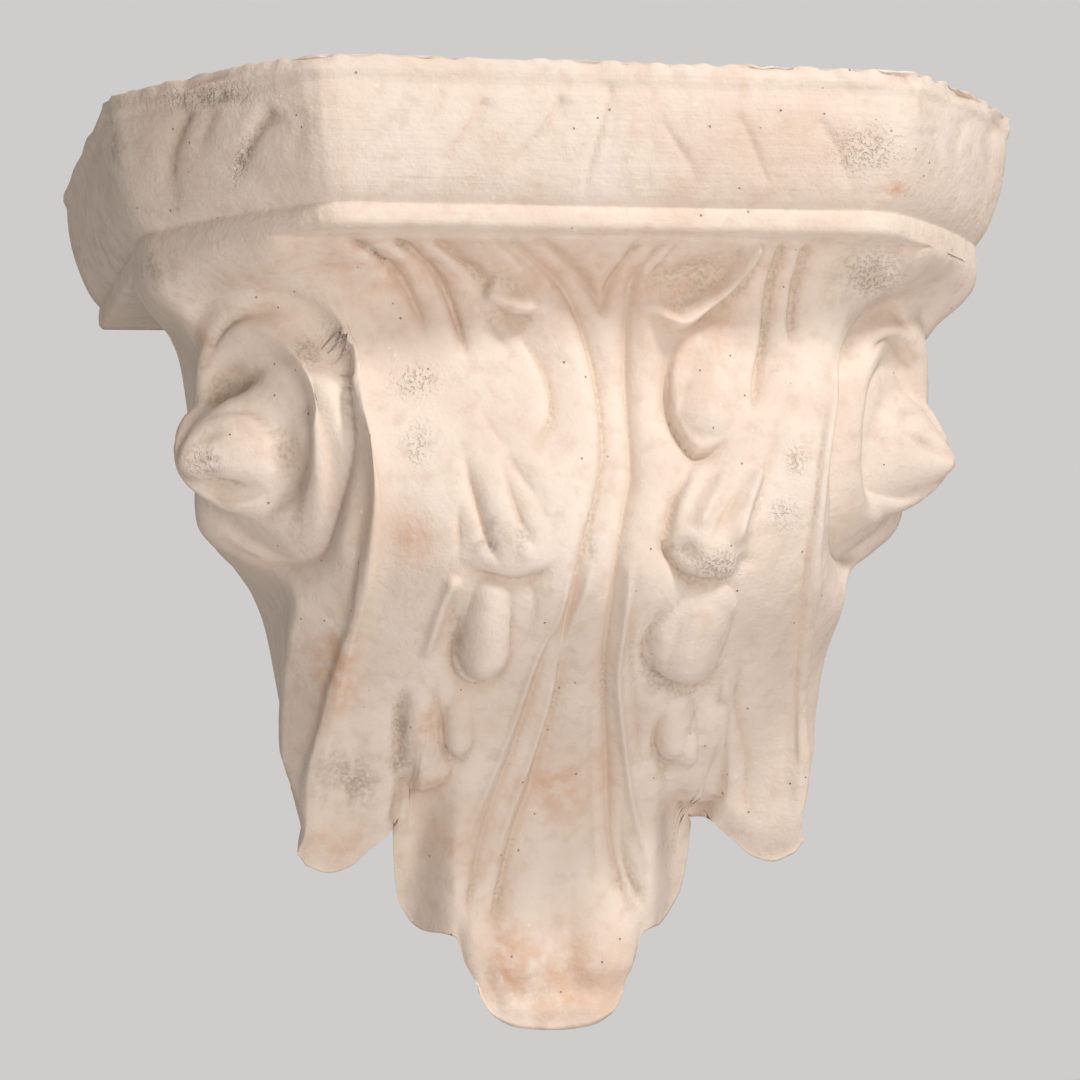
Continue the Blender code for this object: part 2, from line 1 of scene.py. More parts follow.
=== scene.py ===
"""The looks of the cast plaster wall bracket: its carved surface, worn plaster, light and camera.

The surface is one fine mesh that keeps the solid's form and box. Its broad form is worked out as
the solid's is. The carving and the damage on it are placed by pixels of the photograph, through
the camera fitted to that photograph, and stand out from the form along its own normals.
"""
from math import radians

import bpy
import numpy as np
from mathutils import Euler, Matrix, Vector


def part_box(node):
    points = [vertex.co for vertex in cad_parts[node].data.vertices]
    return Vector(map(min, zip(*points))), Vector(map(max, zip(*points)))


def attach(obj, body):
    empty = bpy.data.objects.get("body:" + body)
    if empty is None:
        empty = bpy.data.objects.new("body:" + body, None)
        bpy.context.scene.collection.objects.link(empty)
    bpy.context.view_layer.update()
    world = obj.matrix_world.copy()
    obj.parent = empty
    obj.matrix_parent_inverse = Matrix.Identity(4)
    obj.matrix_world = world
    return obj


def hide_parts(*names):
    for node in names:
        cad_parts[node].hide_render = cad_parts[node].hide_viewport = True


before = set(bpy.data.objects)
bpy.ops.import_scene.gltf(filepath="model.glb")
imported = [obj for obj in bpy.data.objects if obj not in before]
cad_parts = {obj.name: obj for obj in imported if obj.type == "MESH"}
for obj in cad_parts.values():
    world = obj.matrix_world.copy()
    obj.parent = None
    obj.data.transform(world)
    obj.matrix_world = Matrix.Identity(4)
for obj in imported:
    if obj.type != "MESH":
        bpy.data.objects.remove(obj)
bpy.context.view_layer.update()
LOW, HIGH = (np.array(corner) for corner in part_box("bracket"))

# The solid's sizes in metres, its box read from the frame. The ovolo's turn is in degrees.
SHELF_WIDTH = -2 * LOW[0]
DEPTH = -LOW[1]
HEIGHT = HIGH[2] - LOW[2]
TOP = HIGH[2]
SHELF_FRONT = 0.210
CHAMFER_DEPTH = 0.073
FILLET_HEIGHT = 0.0075
FILLET_STEP = 0.0014
OVOLO_HEIGHT = 0.0410
OVOLO_REACH = 0.0135
OVOLO_TURN = 60
LIP_HEIGHT = 0.0090
LIP_STEP = 0.0016

# How finely the surface is worked out, and the shares of its columns on front, scrolls and flanks.
COLUMNS = 334
BODY_ROWS = 226
OVOLO_ROWS = 34
UNDERSIDE_ROWS = 16
COLUMN_SHARES = [(0, 0), (.65, 1.0), (.92, 2.0), (1.0, 3.0)]

# The carving's own scale: places on the form are shares of these three lengths.
ACROSS = SHELF_WIDTH / 0.966
INWARD = DEPTH / 0.66
DOWN = HEIGHT / 0.962
BEHIND = DEPTH / INWARD
AT_WALL = (2.90, 3.0)

# The shelf in those shares. Its cants bow out, and its right half was cast a little wider. Along
# the cants the body starts flush with the lip and leaves it over the blend. The groove is worn
# shallower, over these shares of the ovolo, and the lip's edge is rounded.
SHELF_FALL = (FILLET_HEIGHT + OVOLO_HEIGHT + LIP_HEIGHT) / DOWN
LIP_INSET = (FILLET_STEP + OVOLO_REACH - LIP_STEP) / INWARD
LIP_BLEND = .060
CANT_PLACES = (1.0, 1.35, 2.10, 2.75)
CANT_BOW = .012
RIGHT_STRETCH = 1.02
CORNER_ROUNDING = .06
TOP_EDGE = [(0, .004), (.0008, .0016), (.0022, .0005), (.005, 0), (.009, 0), (.014, 0)]
FILLET_ROUNDING = [(.8, 0), (1, .5), (1.2, 1)]
FILLET_END = FILLET_ROUNDING[-1][0] * FILLET_HEIGHT / DOWN
GROOVE_WORN = .7
WORN_OVER = (.5, 1)
LIP_ROUNDING = [(.08, .26), (.16, .18), (.26, .08), (.38, .02), (.52, 0), (.66, 0), (.80, .12), (.91, .5),
                (1.0, 1.1)]

# Weights of a point and of its neighbours, and the shifts of a soft curve, that soften a bend.
SMOOTHING = ((-1, .25), (0, .5), (1, .25))
SPREAD = (-1, -.5, 0, .5, 1)

# Horizontal sections of the plain body, as stations of (fall, distance): y of the middle, x and y
# of the scroll's bead and of its outer edge, and half width where the flank meets the wall. Bends
# are spread by a reach down the body, by another down its edges, and by a third round it.
BODY_REACH = .030
EDGE_REACH = .012
ROUND_REACH = .08
MIDDLE_Y = [(.165, .050), (.21, .060), (.26, .076), (.31, .086), (.376, .085), (.45, .082), (.508, .095),
            (.56, .145), (.606, .205), (.65, .265), (.686, .312), (.722, .342), (.78, .368), (.853, .387),
            (.90, .392), (.93, .390), (.95, .376), (.965, .372)]
BEAD_X = [(.165, .275), (.21, .276), (.259, .271), (.291, .257), (.354, .237), (.415, .227), (.463, .227),
          (.53, .235), (.596, .246), (.656, .255), (.708, .268), (.80, .270)]
BEAD_Y = [(.165, .075), (.21, .112), (.259, .129), (.291, .124), (.354, .106), (.415, .108), (.463, .133),
          (.50, .158), (.53, .182), (.567, .228), (.596, .257), (.656, .304), (.708, .329), (.80, .360)]
EDGE_X = [(.165, .446), (.197, .434), (.220, .414), (.240, .400), (.264, .390), (.403, .392), (.430, .388),
          (.450, .370), (.468, .340), (.488, .310), (.515, .298), (.60, .297), (.696, .294), (.80, .285)]
EDGE_Y = [(.165, .220), (.264, .232), (.403, .294), (.430, .303), (.450, .306), (.470, .285), (.490, .248),
          (.515, .240), (.552, .289), (.591, .333), (.643, .360), (.80, .372)]
WALL_X = [(.156, .372), (.198, .354), (.262, .345), (.359, .330), (.431, .294), (.463, .278), (.497, .264),
          (.577, .249), (.66, .235), (.80, .210)]

# The leaf's lower outline as (place round the body, fall): tip, second lobe, gap and side lobe.
LEAF_OUTLINE = [(0, .962), (.14, .958), (.24, .947), (.315, .920), (.345, .876), (.37, .862), (.43, .856),
                (.50, .853), (.550, .845), (.585, .825), (.605, .785), (.622, .738), (.66, .738), (.70, .754),
                (.76, .768), (.83, .784), (.90, .789), (.97, .784), (1.1, .770), (1.3, .750), (1.6, .725),
                (2.0, .685), (2.4, .640), (3.0, .590)]
LEAF_REACH = [(0, .962), (.5, .900), (.8, .840), (1.0, .810), (2.0, .760), (3.0, .640)]

# Behind the side lobes the leaf is tucked in, inwards and back, over these places and falls.
LEAF_TUCK = (.012, .060)
TUCK_PLACES = (.38, .60, .63, .69)
TUCK_FALLS = (.64, .75)

# The leaf's rounded lower edge: how much is taken off it, and the share down where that starts.
EDGE_ROUNDING = .012
EDGE_START = .90

# Where the carving of the scroll's face lies on the body.
FACE_PLACES = (.88, 1.04, 2.0, 2.25)
CARVING_TOP = .012

# Where the underside meets the wall, and the bend of its way there from the leaf's edge.
WALL_END = [(0, .700), (1.0, .690), (2.0, .675), (3.0, .650)]
UNDER_FREE = (2.6, 3.0)
UNDER_BEND = (.95, .30, .08)

# The scroll: centre of its face as (distance along the face, fall), its two radii, and the
# direction in which the face runs. Rings lie at shares of the radii: a crease that opens inwards
# and outwards, a roll inside it and a weaker crease inside that. The crease is open at the back.
SCROLL_CENTRE = (.367, .338)
SCROLL_RADII = (.100, .134)
FACE_ALONG = (.64, .77)
CREASE_DEPTH = .016
CREASE_FLANKS = (.16, .10)
CREASE_OPEN = (.3, .8)
CREASE_FADE = .8
ROLL_HEIGHT = .014
ROLL_RING = (.72, .17)
INNER_DEPTH = .008
INNER_RING = (.50, .10)
SCROLL_FALLS = (.50, .56)

# The bead down the scroll's front edge: where it starts and ends, and its crest with its distance
# from the edge and its half width.
BEAD_FALLS = (.24, .33, .66, .76)
BEAD_CREST = (.012, .004, .012)

# The scroll's eye: a blunt cone of a radius, drawn out sideways, forwards and down.
EYE_CENTRE = (.398, .362)
EYE_RADIUS = .064
EYE_REACH = (.067, -.016, -.014)
EYE_SQUASH = .9
EYE_BLUNTNESS = .035
EYE_RIM = (.80, 1.0)

# The camera, fitted to the photograph: its focal length in pixels, its place in units of metres,
# its turn in degrees and its sensor in millimetres.
PHOTO_SIZE = 1080
FOCAL = 3471
CAMERA_UNIT = 0.35
CAMERA_OFFSET = (-0.86, -3.25, -0.82)
CAMERA_YAW = 13.29
CAMERA_PITCH = 5.87
CAMERA_ROLL = -1.63
SENSOR_WIDTH = 36

# The floor, in metres, and its finish.
FLOOR_REACH = 12
FLOOR_BELOW = .75
FLOOR_COLOUR = (.62, .61, .60, 1)
FLOOR_ROUGHNESS = .95

# The light all round, dimmer and warmer before the wall than behind it, with where that changes.
WORLD_BEHIND = (-.2, .5)
WORLD_FRONT = (.20, .165, .135, 1)
WORLD_BACK = (.62, .61, .60, 1)

# The lamps: place and size in metres, power in watts, colour. All are aimed at one point.
LIGHT_AIM = (0, -.12, -.06)
LIGHTS = {
    "broad": ((.14, -1.80, -.10), 1.4, 10, (1, .965, .935)),
    "low": ((-.10, -1.25, -.72), .5, 3.6, (1, .95, .91)),
    "key": ((.55, -1.22, 1.12), .30, 16, (1, .97, .945)),
}

MILLIMETRE = 0.001
FAR = 1e9
TINY = 1e-12

# How squarely the surface faces the camera, from 0 to 1, as the carving comes in. Where it is
# turned away the carving is blurred a number of times, and so is the edge of that region.
FACING = (.08, .32)
TURNED_AWAY = (.35, .65)
TURNED_EDGE = 4
TURNED_BLUR = 14

# The cast's own unevenness: swells of a height in millimetres and a size in metres, with a seed,
# and the wear of its top edge: its reach down in shares, depth, size of its bites, and seed.
WAVES = 30
SWELLS = [(.22, .030, 1), (.07, .008, 2)]
EDGE_WEAR = (.008, .55, .006, 5)

# A hollow counts as a cavity where it lies this deep in millimetres below its blurred surroundings.
CAVITY_REACH = 24
CAVITY_DEPTH = 1.6

# A route's pieces between two of its points. A pleat comes in over a share of its length, less
# where it starts at the lip, and goes over pixels or at most a share. Its flanks are followed to a
# few times their width, and its bottom is rounded a little. A ridge comes and goes over shares.
ROUTE_PIECES = 6
AT_LIP = 232
PLEAT_STARTS = (.06, .40)
PLEAT_END = 45
PLEAT_LAST_SHARE = .5
PLEAT_REACH = 5
PLEAT_ROUNDING = .6
RIDGE_ENDS = (.12, .25)
RIDGE_REACH = 3

# A boss has this share of its height at its first disc, and a valley round it of a share of its
# height: the radius and squareness of its inner side, and the pixels over which it opens outside.
BOSS_START = .30
BOSS_VALLEY = .6
BOSS_RIM = (1.05, 8, 4)

# Pleats of the leaf. Each is the line of a valley, x and y by turns in pixels of the photograph,
# walked downwards, then its depth in millimetres and the pixels over which it opens left and right.
# On a line walked to the right, the left is below it and the right above it.
PLEATS = {
    "outer left": ([330, 224, 359, 247, 373, 260, 385, 274, 397, 291, 408, 308, 417, 325,
        424, 345], 6.2, 4, 10),
    "soft left": ([384, 228, 396, 241, 407, 256, 417, 272, 425, 290, 431, 307, 436, 325], 3, 6, 6),
    "second left": ([378, 216, 397, 239, 415, 259, 427, 274, 437, 290, 446, 305, 453, 321, 462, 342,
        470, 360], 8, 5, 12),
    "eye left": ([416, 220, 434, 238, 451, 255, 468, 272, 484, 288], 8.5, 5, 20),
    "beside stem left": ([478, 220, 496, 239, 513, 252, 531, 269, 548, 286, 562, 306], 3.2, 3, 3),
    "stem left": ([488, 218, 506, 236, 524, 250, 543, 267, 562, 284, 576, 302, 586, 321, 594, 340, 601, 362,
        606, 385, 609, 418, 609, 450, 603, 480, 596, 509, 588, 537, 580, 568, 573, 600, 566, 635, 560, 675,
        556, 705, 546, 740, 538, 767, 530, 796, 519, 824, 510, 853, 503, 882, 496, 910,
        489, 945], 6, 6, 15),
    "second vein left": ([576, 560, 566, 592, 556, 622, 547, 650, 540, 675, 531, 703, 516, 747, 507, 771,
        499, 792, 490, 816, 482, 842, 476, 872, 470, 905, 464, 935], 4.4, 6, 8),
    "fork left": ([536, 228, 557, 248, 577, 266, 595, 284, 607, 300, 614, 314, 617, 327], 5.6, 9, 4),
    "fork right": ([648, 225, 637, 250, 630, 268, 622, 288, 616, 308, 616, 327], 6.2, 4, 8),
    "stem right": ([678, 226, 671, 240, 662, 255, 654, 271, 648, 288, 644, 307, 641, 331, 639, 357,
        638, 383, 638, 418, 638, 461, 636, 480, 631, 503, 627, 527, 623, 547, 619, 572, 615, 605, 610, 639,
        607, 670, 606, 703, 608, 747, 609, 781, 610, 816, 612, 842, 617, 868, 624, 895,
        633, 930], 6, 13, 9),
    "thin right": ([690, 226, 683, 241, 674, 262, 667, 279, 662, 300], 3.4, 3, 4),
    "stem lower": ([600, 680, 596, 710, 594, 740, 594, 771, 595, 807, 596, 842, 598, 868,
        603, 890], 2, 5, 4),
    "second vein right": ([640, 560, 638, 590, 636, 620, 634, 655, 635, 686, 637, 721, 640, 755,
        641, 785], 3, 7, 5),
    "second vein right, low": ([622, 790, 622, 833, 625, 859, 631, 880, 639, 897, 650, 916], 3, 4, 6),
    "rib right": ([786, 225, 786, 265, 786, 292, 783, 317, 779, 343, 771, 368, 764, 394,
        757, 414], 7, 4, 10),
    "outer right": ([812, 228, 810, 250, 809, 270, 807, 293, 805, 315, 801, 338, 797, 352], 6.8, 4, 8),
    "lobe right": ([786, 392, 781, 420, 777, 445, 770, 470, 760, 497, 750, 520, 742, 540], 2.4, 5, 6),
    "edge of first lobe left": ([505, 317, 520, 333, 536, 353, 548, 370, 555, 388, 557, 405, 552, 422,
        540, 436, 526, 446], 5, 4, 20),
    "first lobe left": ([482, 396, 487, 411, 496, 427, 505, 439, 514, 443, 526, 442], 1.2, 4, 4),
    "soft valley left": ([466, 296, 483, 314, 498, 332, 511, 350, 524, 368], 2.2, 9, 7),
    "under hook left": ([496, 306, 507, 318, 521, 322, 536, 317, 550, 311], 5, 16, 2),
    "under hook right": ([766, 240, 762, 262, 757, 280, 749, 296, 738, 308, 724, 318, 712, 328,
        703, 338], 6.5, 4, 26),
    "pocket right": ([706, 327, 697, 338, 688, 354, 683, 369, 680, 383, 680, 401, 682, 415, 687, 428,
        693, 439, 702, 449, 711, 450, 721, 446, 732, 438, 742, 428], 7.5, 16, 2),
    "second pocket right": ([728, 446, 711, 456, 699, 466, 692, 480, 685, 492, 680, 504, 676, 518, 674, 530,
        671, 541, 673, 553, 680, 567, 688, 577, 699, 581, 711, 582, 724, 580, 738, 574], 7, 14, 2),
    "fold in second lobe right": ([752, 470, 740, 492, 729, 511, 719, 526, 711, 540, 707, 552], 3.4, 5, 5),
    "second lobe left, outer": ([462, 440, 467, 460, 471, 480, 475, 500, 480, 520, 485, 537, 494, 556,
        503, 570], 4.4, 5, 9),
    "second lobe left, middle": ([498, 455, 506, 475, 513, 497, 520, 520, 531, 540, 541, 561], 4, 6, 8),
    "second lobe left, inner": ([505, 446, 514, 460, 525, 477, 536, 492, 547, 506], 2, 4, 5),
    "under second lobe left": ([456, 556, 466, 566, 480, 573, 496, 578, 513, 581, 532, 578, 550, 568,
        562, 552], 4, 12, 2),
    "leaf edge left": ([462, 500, 458, 520, 458, 545, 456, 566], 2, 4, 4),
    "bud groove left": ([455, 588, 449, 612, 443, 640, 438, 668], 3, 5, 6),
    "drop groove left": ([407, 681, 399, 700, 396, 717, 396, 745, 400, 775, 404, 798], 3.4, 5, 5),
    "side groove right": ([739, 631, 743, 655, 742, 680, 739, 705, 745, 738, 748, 764, 743, 800,
        738, 832], 2.8, 5, 6),
    "bead right": ([846, 344, 838, 375, 829, 410, 822, 450, 818, 490, 812, 530, 806, 570, 801, 620,
        797, 670, 795, 710, 796, 750, 799, 785], 2.4, 5, 4),
    "bead left": ([340, 352, 352, 375, 366, 405, 376, 440, 382, 480, 382, 507, 379, 541, 375, 575, 366, 612,
        356, 645, 348, 690, 340, 730], 1.6, 2, 6),
    "round left bud": ([474, 592, 462, 612, 454, 640, 450, 662, 456, 680, 472, 689, 490, 684, 504, 668,
        512, 650], 4.5, 11, 3),
    "beside left bud": ([524, 575, 533, 595, 535, 612, 530, 634, 518, 652, 504, 664], 2.2, 3, 5),
    "round right bud": ([690, 590, 668, 608, 653, 634, 645, 656, 650, 674, 668, 686, 690, 692, 708, 688,
        722, 670, 732, 648], 4.5, 11, 3),
    "facet of right bud": ([694, 600, 680, 622, 669, 640, 664, 658, 672, 676], 2.6, 6, 12),
    "beside left drop": ([433, 674, 437, 700, 441, 726, 446, 750, 456, 763, 467, 754, 474, 734], 2.6, 7, 3),
    "beside right drop": ([668, 696, 659, 716, 656, 740, 658, 758, 667, 769, 682, 764, 692, 748], 3, 7, 3),
    "scroll left, outer": ([188, 424, 189, 408, 194, 376, 202, 357, 210, 338, 222, 320, 239, 310, 258, 305,
        279, 305, 299, 311], 5, 15, 3),
    "scroll left, shell": ([184, 424, 200, 408, 211, 399, 224, 390, 239, 386, 254, 382,
        264, 379], 5.5, 3, 15),
    "scroll left, ring": ([196, 425, 205, 416, 222, 411, 241, 410, 252, 413, 267, 425, 277, 442, 283, 457,
        281, 475, 274, 492], 3, 4, 4),
    "scroll left, inner": ([186, 446, 200, 438, 213, 432, 226, 430], 3.2, 9, 4),
    "scroll left, under": ([190, 479, 205, 482, 220, 484, 235, 486, 250, 491, 266, 497], 5, 14, 3),
    "scroll left, below": ([207, 486, 215, 498, 224, 509, 236, 520], 2, 4, 4),
    "scroll left, valley": ([280, 412, 286, 432, 290, 455, 293, 480, 294, 505, 290, 525,
        280, 540], 2.4, 9, 10),
    "scroll left, band": ([318, 392, 328, 430, 335, 455, 340, 480, 342, 505, 341, 528], 1.2, 5, 8),
    "scroll left, foot": ([214, 530, 225, 542, 236, 551, 250, 557, 269, 562, 292, 560], 3, 8, 3),
    "scroll right, outer": ([836, 384, 838, 372, 843, 354, 850, 334, 860, 318, 873, 309, 888, 306, 902, 311,
        911, 323, 918, 337, 923, 352], 4.2, 13, 3),
    "scroll right, shell": ([866, 360, 874, 348, 884, 341, 893, 341, 900, 347, 907, 360, 914, 373,
        927, 388], 5, 15, 3),
    "scroll right, ring": ([896, 424, 903, 416, 914, 411, 924, 410, 933, 417, 938, 427, 943, 443], 3, 4, 3),
    "scroll right, inner": ([908, 432, 918, 436, 926, 441, 936, 448, 944, 454, 953, 459], 3.4, 8, 4),
    "scroll right, valley": ([893, 420, 884, 440, 876, 462, 870, 488], 2, 6, 6),
}

# Ridges: the crest's line in the same form, then its height in millimetres and
# its half widths in pixels, to the left or below, and to the right or above.
RIDGES = {
    "hook left": ([486, 296, 497, 303, 511, 309, 524, 313, 537, 313, 550, 309], 5, 5, 13),
    "hook right": ([762, 226, 758, 245, 755, 262, 750, 278, 741, 292, 729, 302, 716, 311, 705, 319,
        693, 325, 680, 322, 668, 315, 658, 306], 7.5, 7, 7),
    "second lobe right, inner": ([730, 470, 720, 486, 711, 500, 702, 516, 696, 530], 2.4, 6, 7),
    "second lobe right, outer": ([764, 465, 756, 487, 747, 508, 738, 528, 729, 546], 3.4, 8, 8),
    "beside bud left": ([457, 577, 447, 597, 438, 622, 430, 645, 421, 662], 2.8, 6, 6),
    "bead left": ([340, 372, 352, 404, 363, 429, 370, 457, 375, 483, 376, 508, 374, 538, 370, 564, 364, 592,
        354, 622], 1.2, 7, 5),
    "scroll left": ([304, 410, 311, 440, 317, 470, 320, 500, 317, 528, 304, 548], 2.2, 11, 12),
    "beside bead left": ([322, 360, 332, 392, 340, 424, 346, 456, 350, 490, 350, 524, 346, 556,
        340, 590], 4, 14, 12),
    "vein left": ([581, 560, 567, 598, 557, 626, 540, 654, 529, 680, 519, 712, 507, 742, 496, 768, 485, 795,
        474, 822, 464, 860], 2, 4, 4),
    "second vein left": ([597, 560, 585, 598, 572, 631, 562, 661, 552, 699, 542, 732, 532, 760, 519, 793,
        509, 821, 496, 862, 486, 905], 2, 4, 4),
    "vein right": ([633, 560, 627, 611, 623, 649, 619, 682, 622, 722, 627, 763, 632, 801, 642, 842,
        654, 880], 2.2, 4, 4),
    "tip rim": ([497, 1000, 520, 1008, 545, 1009, 570, 1006, 595, 1006, 616, 1000], 2.2, 14, 9),
}

# Bosses: drops between two discs of (x, y, radius) in pixels, with their height in millimetres
# and the sharpness of their edge, from 0 for a cliff to 1 and more for a soft swelling.
BOSSES = {
    "bud left": ((492, 598, 19), (484, 652, 27), 9.5, .8),
    "bud right": ((714, 604, 24), (686, 650, 36), 9.5, .8),
    "drop left": ((458, 710, 12), (458, 738, 17), 6.0, .8),
    "drop right": ((680, 712, 15), (675, 742, 20), 6.5, .8),
    "end lobe left": ((420, 704, 15), (424, 766, 25), 8.0, .8),
    "end lobe right": ((714, 716, 16), (694, 776, 28), 9.0, .7),
    "first lobe right": ((735, 340, 18), (716, 408, 28), 5.0, 1.2),
    "second lobe left": ((488, 470, 24), (508, 536, 46), 2.8, 1.3),
    "second lobe right": ((745, 480, 24), (712, 545, 38), 4.5, 1.0),
    "tip left": ((528, 880, 24), (522, 965, 40), 4.5, 1.5),
    "tip right": ((590, 890, 20), (604, 962, 38), 4.5, 1.5),
}

# Hollows: middle and half sizes in pixels, turn in degrees, and depth in millimetres.
HOLLOWS = {
    "eye left": ((479, 279), (20, 10), 44, 3.0),
    "cove of hook right": ((704, 272), (42, 22), -18, 6.5),
    "scroll left": ((240, 374), (27, 10), -22, 3.2),
    "broken lobe right": ((684, 550), (13, 12), 0, 3.6),
    "above tip rim": ((557, 985), (62, 16), 0, 1.6),
}

# The deep cove under the lip: its middle in pixels, its half width, its reach up and down, how
# square its ends are, and its depth in millimetres.
COVE = (548, 296), 250, (38, 150), 6, 14.5

# Strokes left by the tool on the shelf, in the pleats' form.
STROKES = {
    "front 1": ([405, 92, 391, 117, 372, 140, 355, 163], 1.1, 3, 9),
    "front 2": ([484, 98, 468, 126, 449, 152, 430, 173], 1.8, 3, 9),
    "front 3": ([562, 95, 543, 126, 519, 157, 500, 180], 1.8, 3, 9),
    "front 4": ([614, 84, 603, 126, 592, 165, 582, 202], 1.6, 7, 2),
    "front 5": ([615, 100, 612, 136, 604, 188], .6, 3, 3),
    "front 6": ([662, 118, 677, 141, 692, 165, 698, 190], 1.1, 9, 2),
    "front 7": ([739, 112, 755, 146, 767, 177, 771, 196], 1.1, 9, 2),
    "front 8": ([820, 117, 837, 143, 849, 174, 853, 194], 1.2, 9, 2),
    "left 1": ([190, 108, 176, 140, 170, 172, 180, 212], 3.6, 8, 3),
    "left 2": ([215, 108, 204, 134, 197, 164], 2, 7, 3),
    "left 3": ([270, 106, 252, 134, 238, 163, 233, 190], 3.4, 4, 9),
    "left 4": ([305, 112, 296, 142, 290, 165], .8, 8, 8),
    "far left": ([104, 118, 98, 155, 108, 196, 124, 236], 2, 6, 4),
    "right 1": ([936, 128, 941, 165, 946, 200], 1.4, 8, 3),
    "right 2": ([966, 120, 958, 150, 964, 198], 1.4, 8, 3),
    "right 3": ([992, 128, 991, 165, 986, 202], 1.4, 6, 3),
    "groove": ([322, 206, 420, 207, 560, 208, 700, 208, 880, 208], .5, 2, 2),
    "groove on left": ([104, 234, 180, 225, 252, 209, 312, 203], .7, 3, 3),
    "fillet line": ([330, 73, 480, 74, 640, 77, 800, 84, 910, 98], .5, 2, 2),
    "second fillet line": ([330, 86, 480, 88, 640, 91, 800, 99, 910, 112], .35, 2, 2),
}

# Places where the cast's edges are chipped or broken, in the hollows' form.
CHIPS = {
    "top, middle": ((588, 56), (16, 5), 0, 2.4),
    "top, left of middle": ((430, 52), (22, 4), 0, 1.2),
    "top, right": ((760, 64), (26, 4), 3, 1.4),
    "corner right": ((905, 76), (18, 8), 15, 2.6),
    "cant right": ((968, 96), (20, 7), 18, 2.4),
    "heel right": ((1003, 122), (10, 12), 0, 2.8),
    "corner left": ((308, 55), (20, 5), -4, 1.8),
    "cant left": ((200, 82), (30, 5), -14, 1.8),
    "heel left": ((100, 112), (9, 12), 20, 2.2),
    "eye left": ((198, 462), (9, 8), 0, 1.8),
    "eye left, low": ((212, 474), (8, 4), 20, 1.6),
    "eye right": ((952, 452), (7, 10), 0, 1.4),
    "side lobe left": ((352, 790), (16, 12), 30, 1.6),
    "side lobe right": ((744, 562), (10, 8), 0, 1.4),
}

# Patches of dirt, of stains and of pitting, with painted shade among the dirt and the stains: middle and half
# sizes in pixels, turn and strength.
GRIME_AND_PAINTED_SHADE = {
    "top left": ((204, 98), (44, 9), -6, 1.0),
    "cant left": ((110, 146), (12, 26), 15, .8),
    "stroke left": ((176, 206), (6, 12), 0, .9),
    "stroke on cant": ((240, 160), (9, 26), 20, .6),
    "under the cant": ((130, 262), (60, 16), 20, .7),
    "heel left": ((92, 215), (16, 46), -10, .6),
    "eye left": ((196, 455), (22, 24), 0, .7),
    # Painted shadow above the left eye's rim.
    "over the eye": ((226, 388), (36, 9), -24, .6),
    "scroll left": ((305, 345), (16, 20), 0, .35),
    "side lobe left": ((350, 780), (30, 28), 0, .95),
    "edge of side lobe": ((400, 750), (8, 52), 4, .9),
    "second lobe left": ((488, 542), (14, 30), 10, .8),
    "second lobe left, inner": ((524, 537), (12, 26), 0, .7),
    "stem": ((594, 546), (6, 18), 0, .7),
    # These three are painted shade: in the broken pit, under the right bud and beside the left bud.
    "pit in second lobe right": ((683, 550), (14, 12), 0, .9),
    "under right bud": ((664, 682), (26, 10), 0, .7),
    "beside left bud": ((456, 646), (7, 30), 0, .8),
    "right band": ((870, 270), (36, 26), 0, .35),
    "low left": ((280, 640), (14, 60), 0, .35),
}
STAINS_AND_PAINTED_SHADE = {
    # The first three are painted warm shade, in the cove under the lip and in the pocket under the right
    # hook; the rest are stains.
    "cove": ((570, 282), (235, 44), 0, .42),
    "cove left": ((370, 270), (60, 40), 10, .35),
    "pocket right": ((716, 340), (46, 50), -20, .35),
    "low left": ((334, 668), (26, 52), 8, .9),
    "first band": ((414, 540), (16, 26), 0, .8),
    "lower leaf": ((560, 790), (34, 24), 0, .8),
    "stem": ((608, 772), (8, 22), 0, .6),
    "drop left": ((428, 722), (20, 16), 0, .7),
    "end lobe left": ((430, 774), (18, 16), 0, .8),
    "cant left": ((252, 282), (20, 10), 0, .5),
    "cant right": ((896, 189), (16, 6), -8, .9),
    "scroll left": ((202, 338), (10, 18), 0, .7),
    "tip": ((560, 980), (70, 44), 0, .75),
    "tip left": ((505, 955), (18, 40), 0, .7),
    "low middle": ((470, 850), (40, 40), 0, .4),
    "side lobe left": ((340, 845), (36, 20), 0, .4),
}
PITTED = {
    "first band": ((414, 376), (24, 14), 0, .9),
    "band lower": ((418, 442), (14, 26), 0, .7),
    "right band": ((872, 275), (34, 26), 0, .9),
    "shelf right": ((866, 150), (32, 22), 0, .9),
    "lobe right": ((798, 460), (10, 18), 0, .8),
    "lobe right, low": ((785, 515), (16, 16), 0, .7),
    "scroll left": ((308, 350), (18, 22), 0, .6),
    "second lobe right": ((716, 566), (24, 16), 0, 1.0),
    "stroke on cant": ((240, 160), (8, 26), 20, .8),
    "top left": ((210, 96), (46, 10), -6, .9),
    "eye left": ((204, 464), (14, 14), 0, .9),
}

# The plaster's colours.
CREAM = (.80, .68, .59, 1)
# PALE is the clouds' tone and also the painted highlight on crests.
PALE = (.85, .745, .66, 1)
# WARM is the mottle's tone and also the painted warm shade in hollows.
WARM = (.69, .55, .44, 1)
ORANGE = (.68, .42, .28, 1)
# Grey dirt, also the colour of the painted shade in some dirt patches.
DIRT_AND_SHADE = (.36, .32, .255, 1)
DARK = (.13, .105, .08, 1)
WHITE = (.92, .88, .83, 1)

# Sizes of the plaster's grains in metres, each one's number of octaves, and their roughness.
CLOUDS = (.035, 3)
MOTTLE = (.007, 3)
FINE = (.0016, 3)
BLUSH = (.09, 3)
LUMPS = (.006, 3)
LINES = (.0022, 2)
PITS = (.0014, 2)
GRAIN_ROUGHNESS = .55
LINES_DRAWN_OUT = (.03, 1, 1)

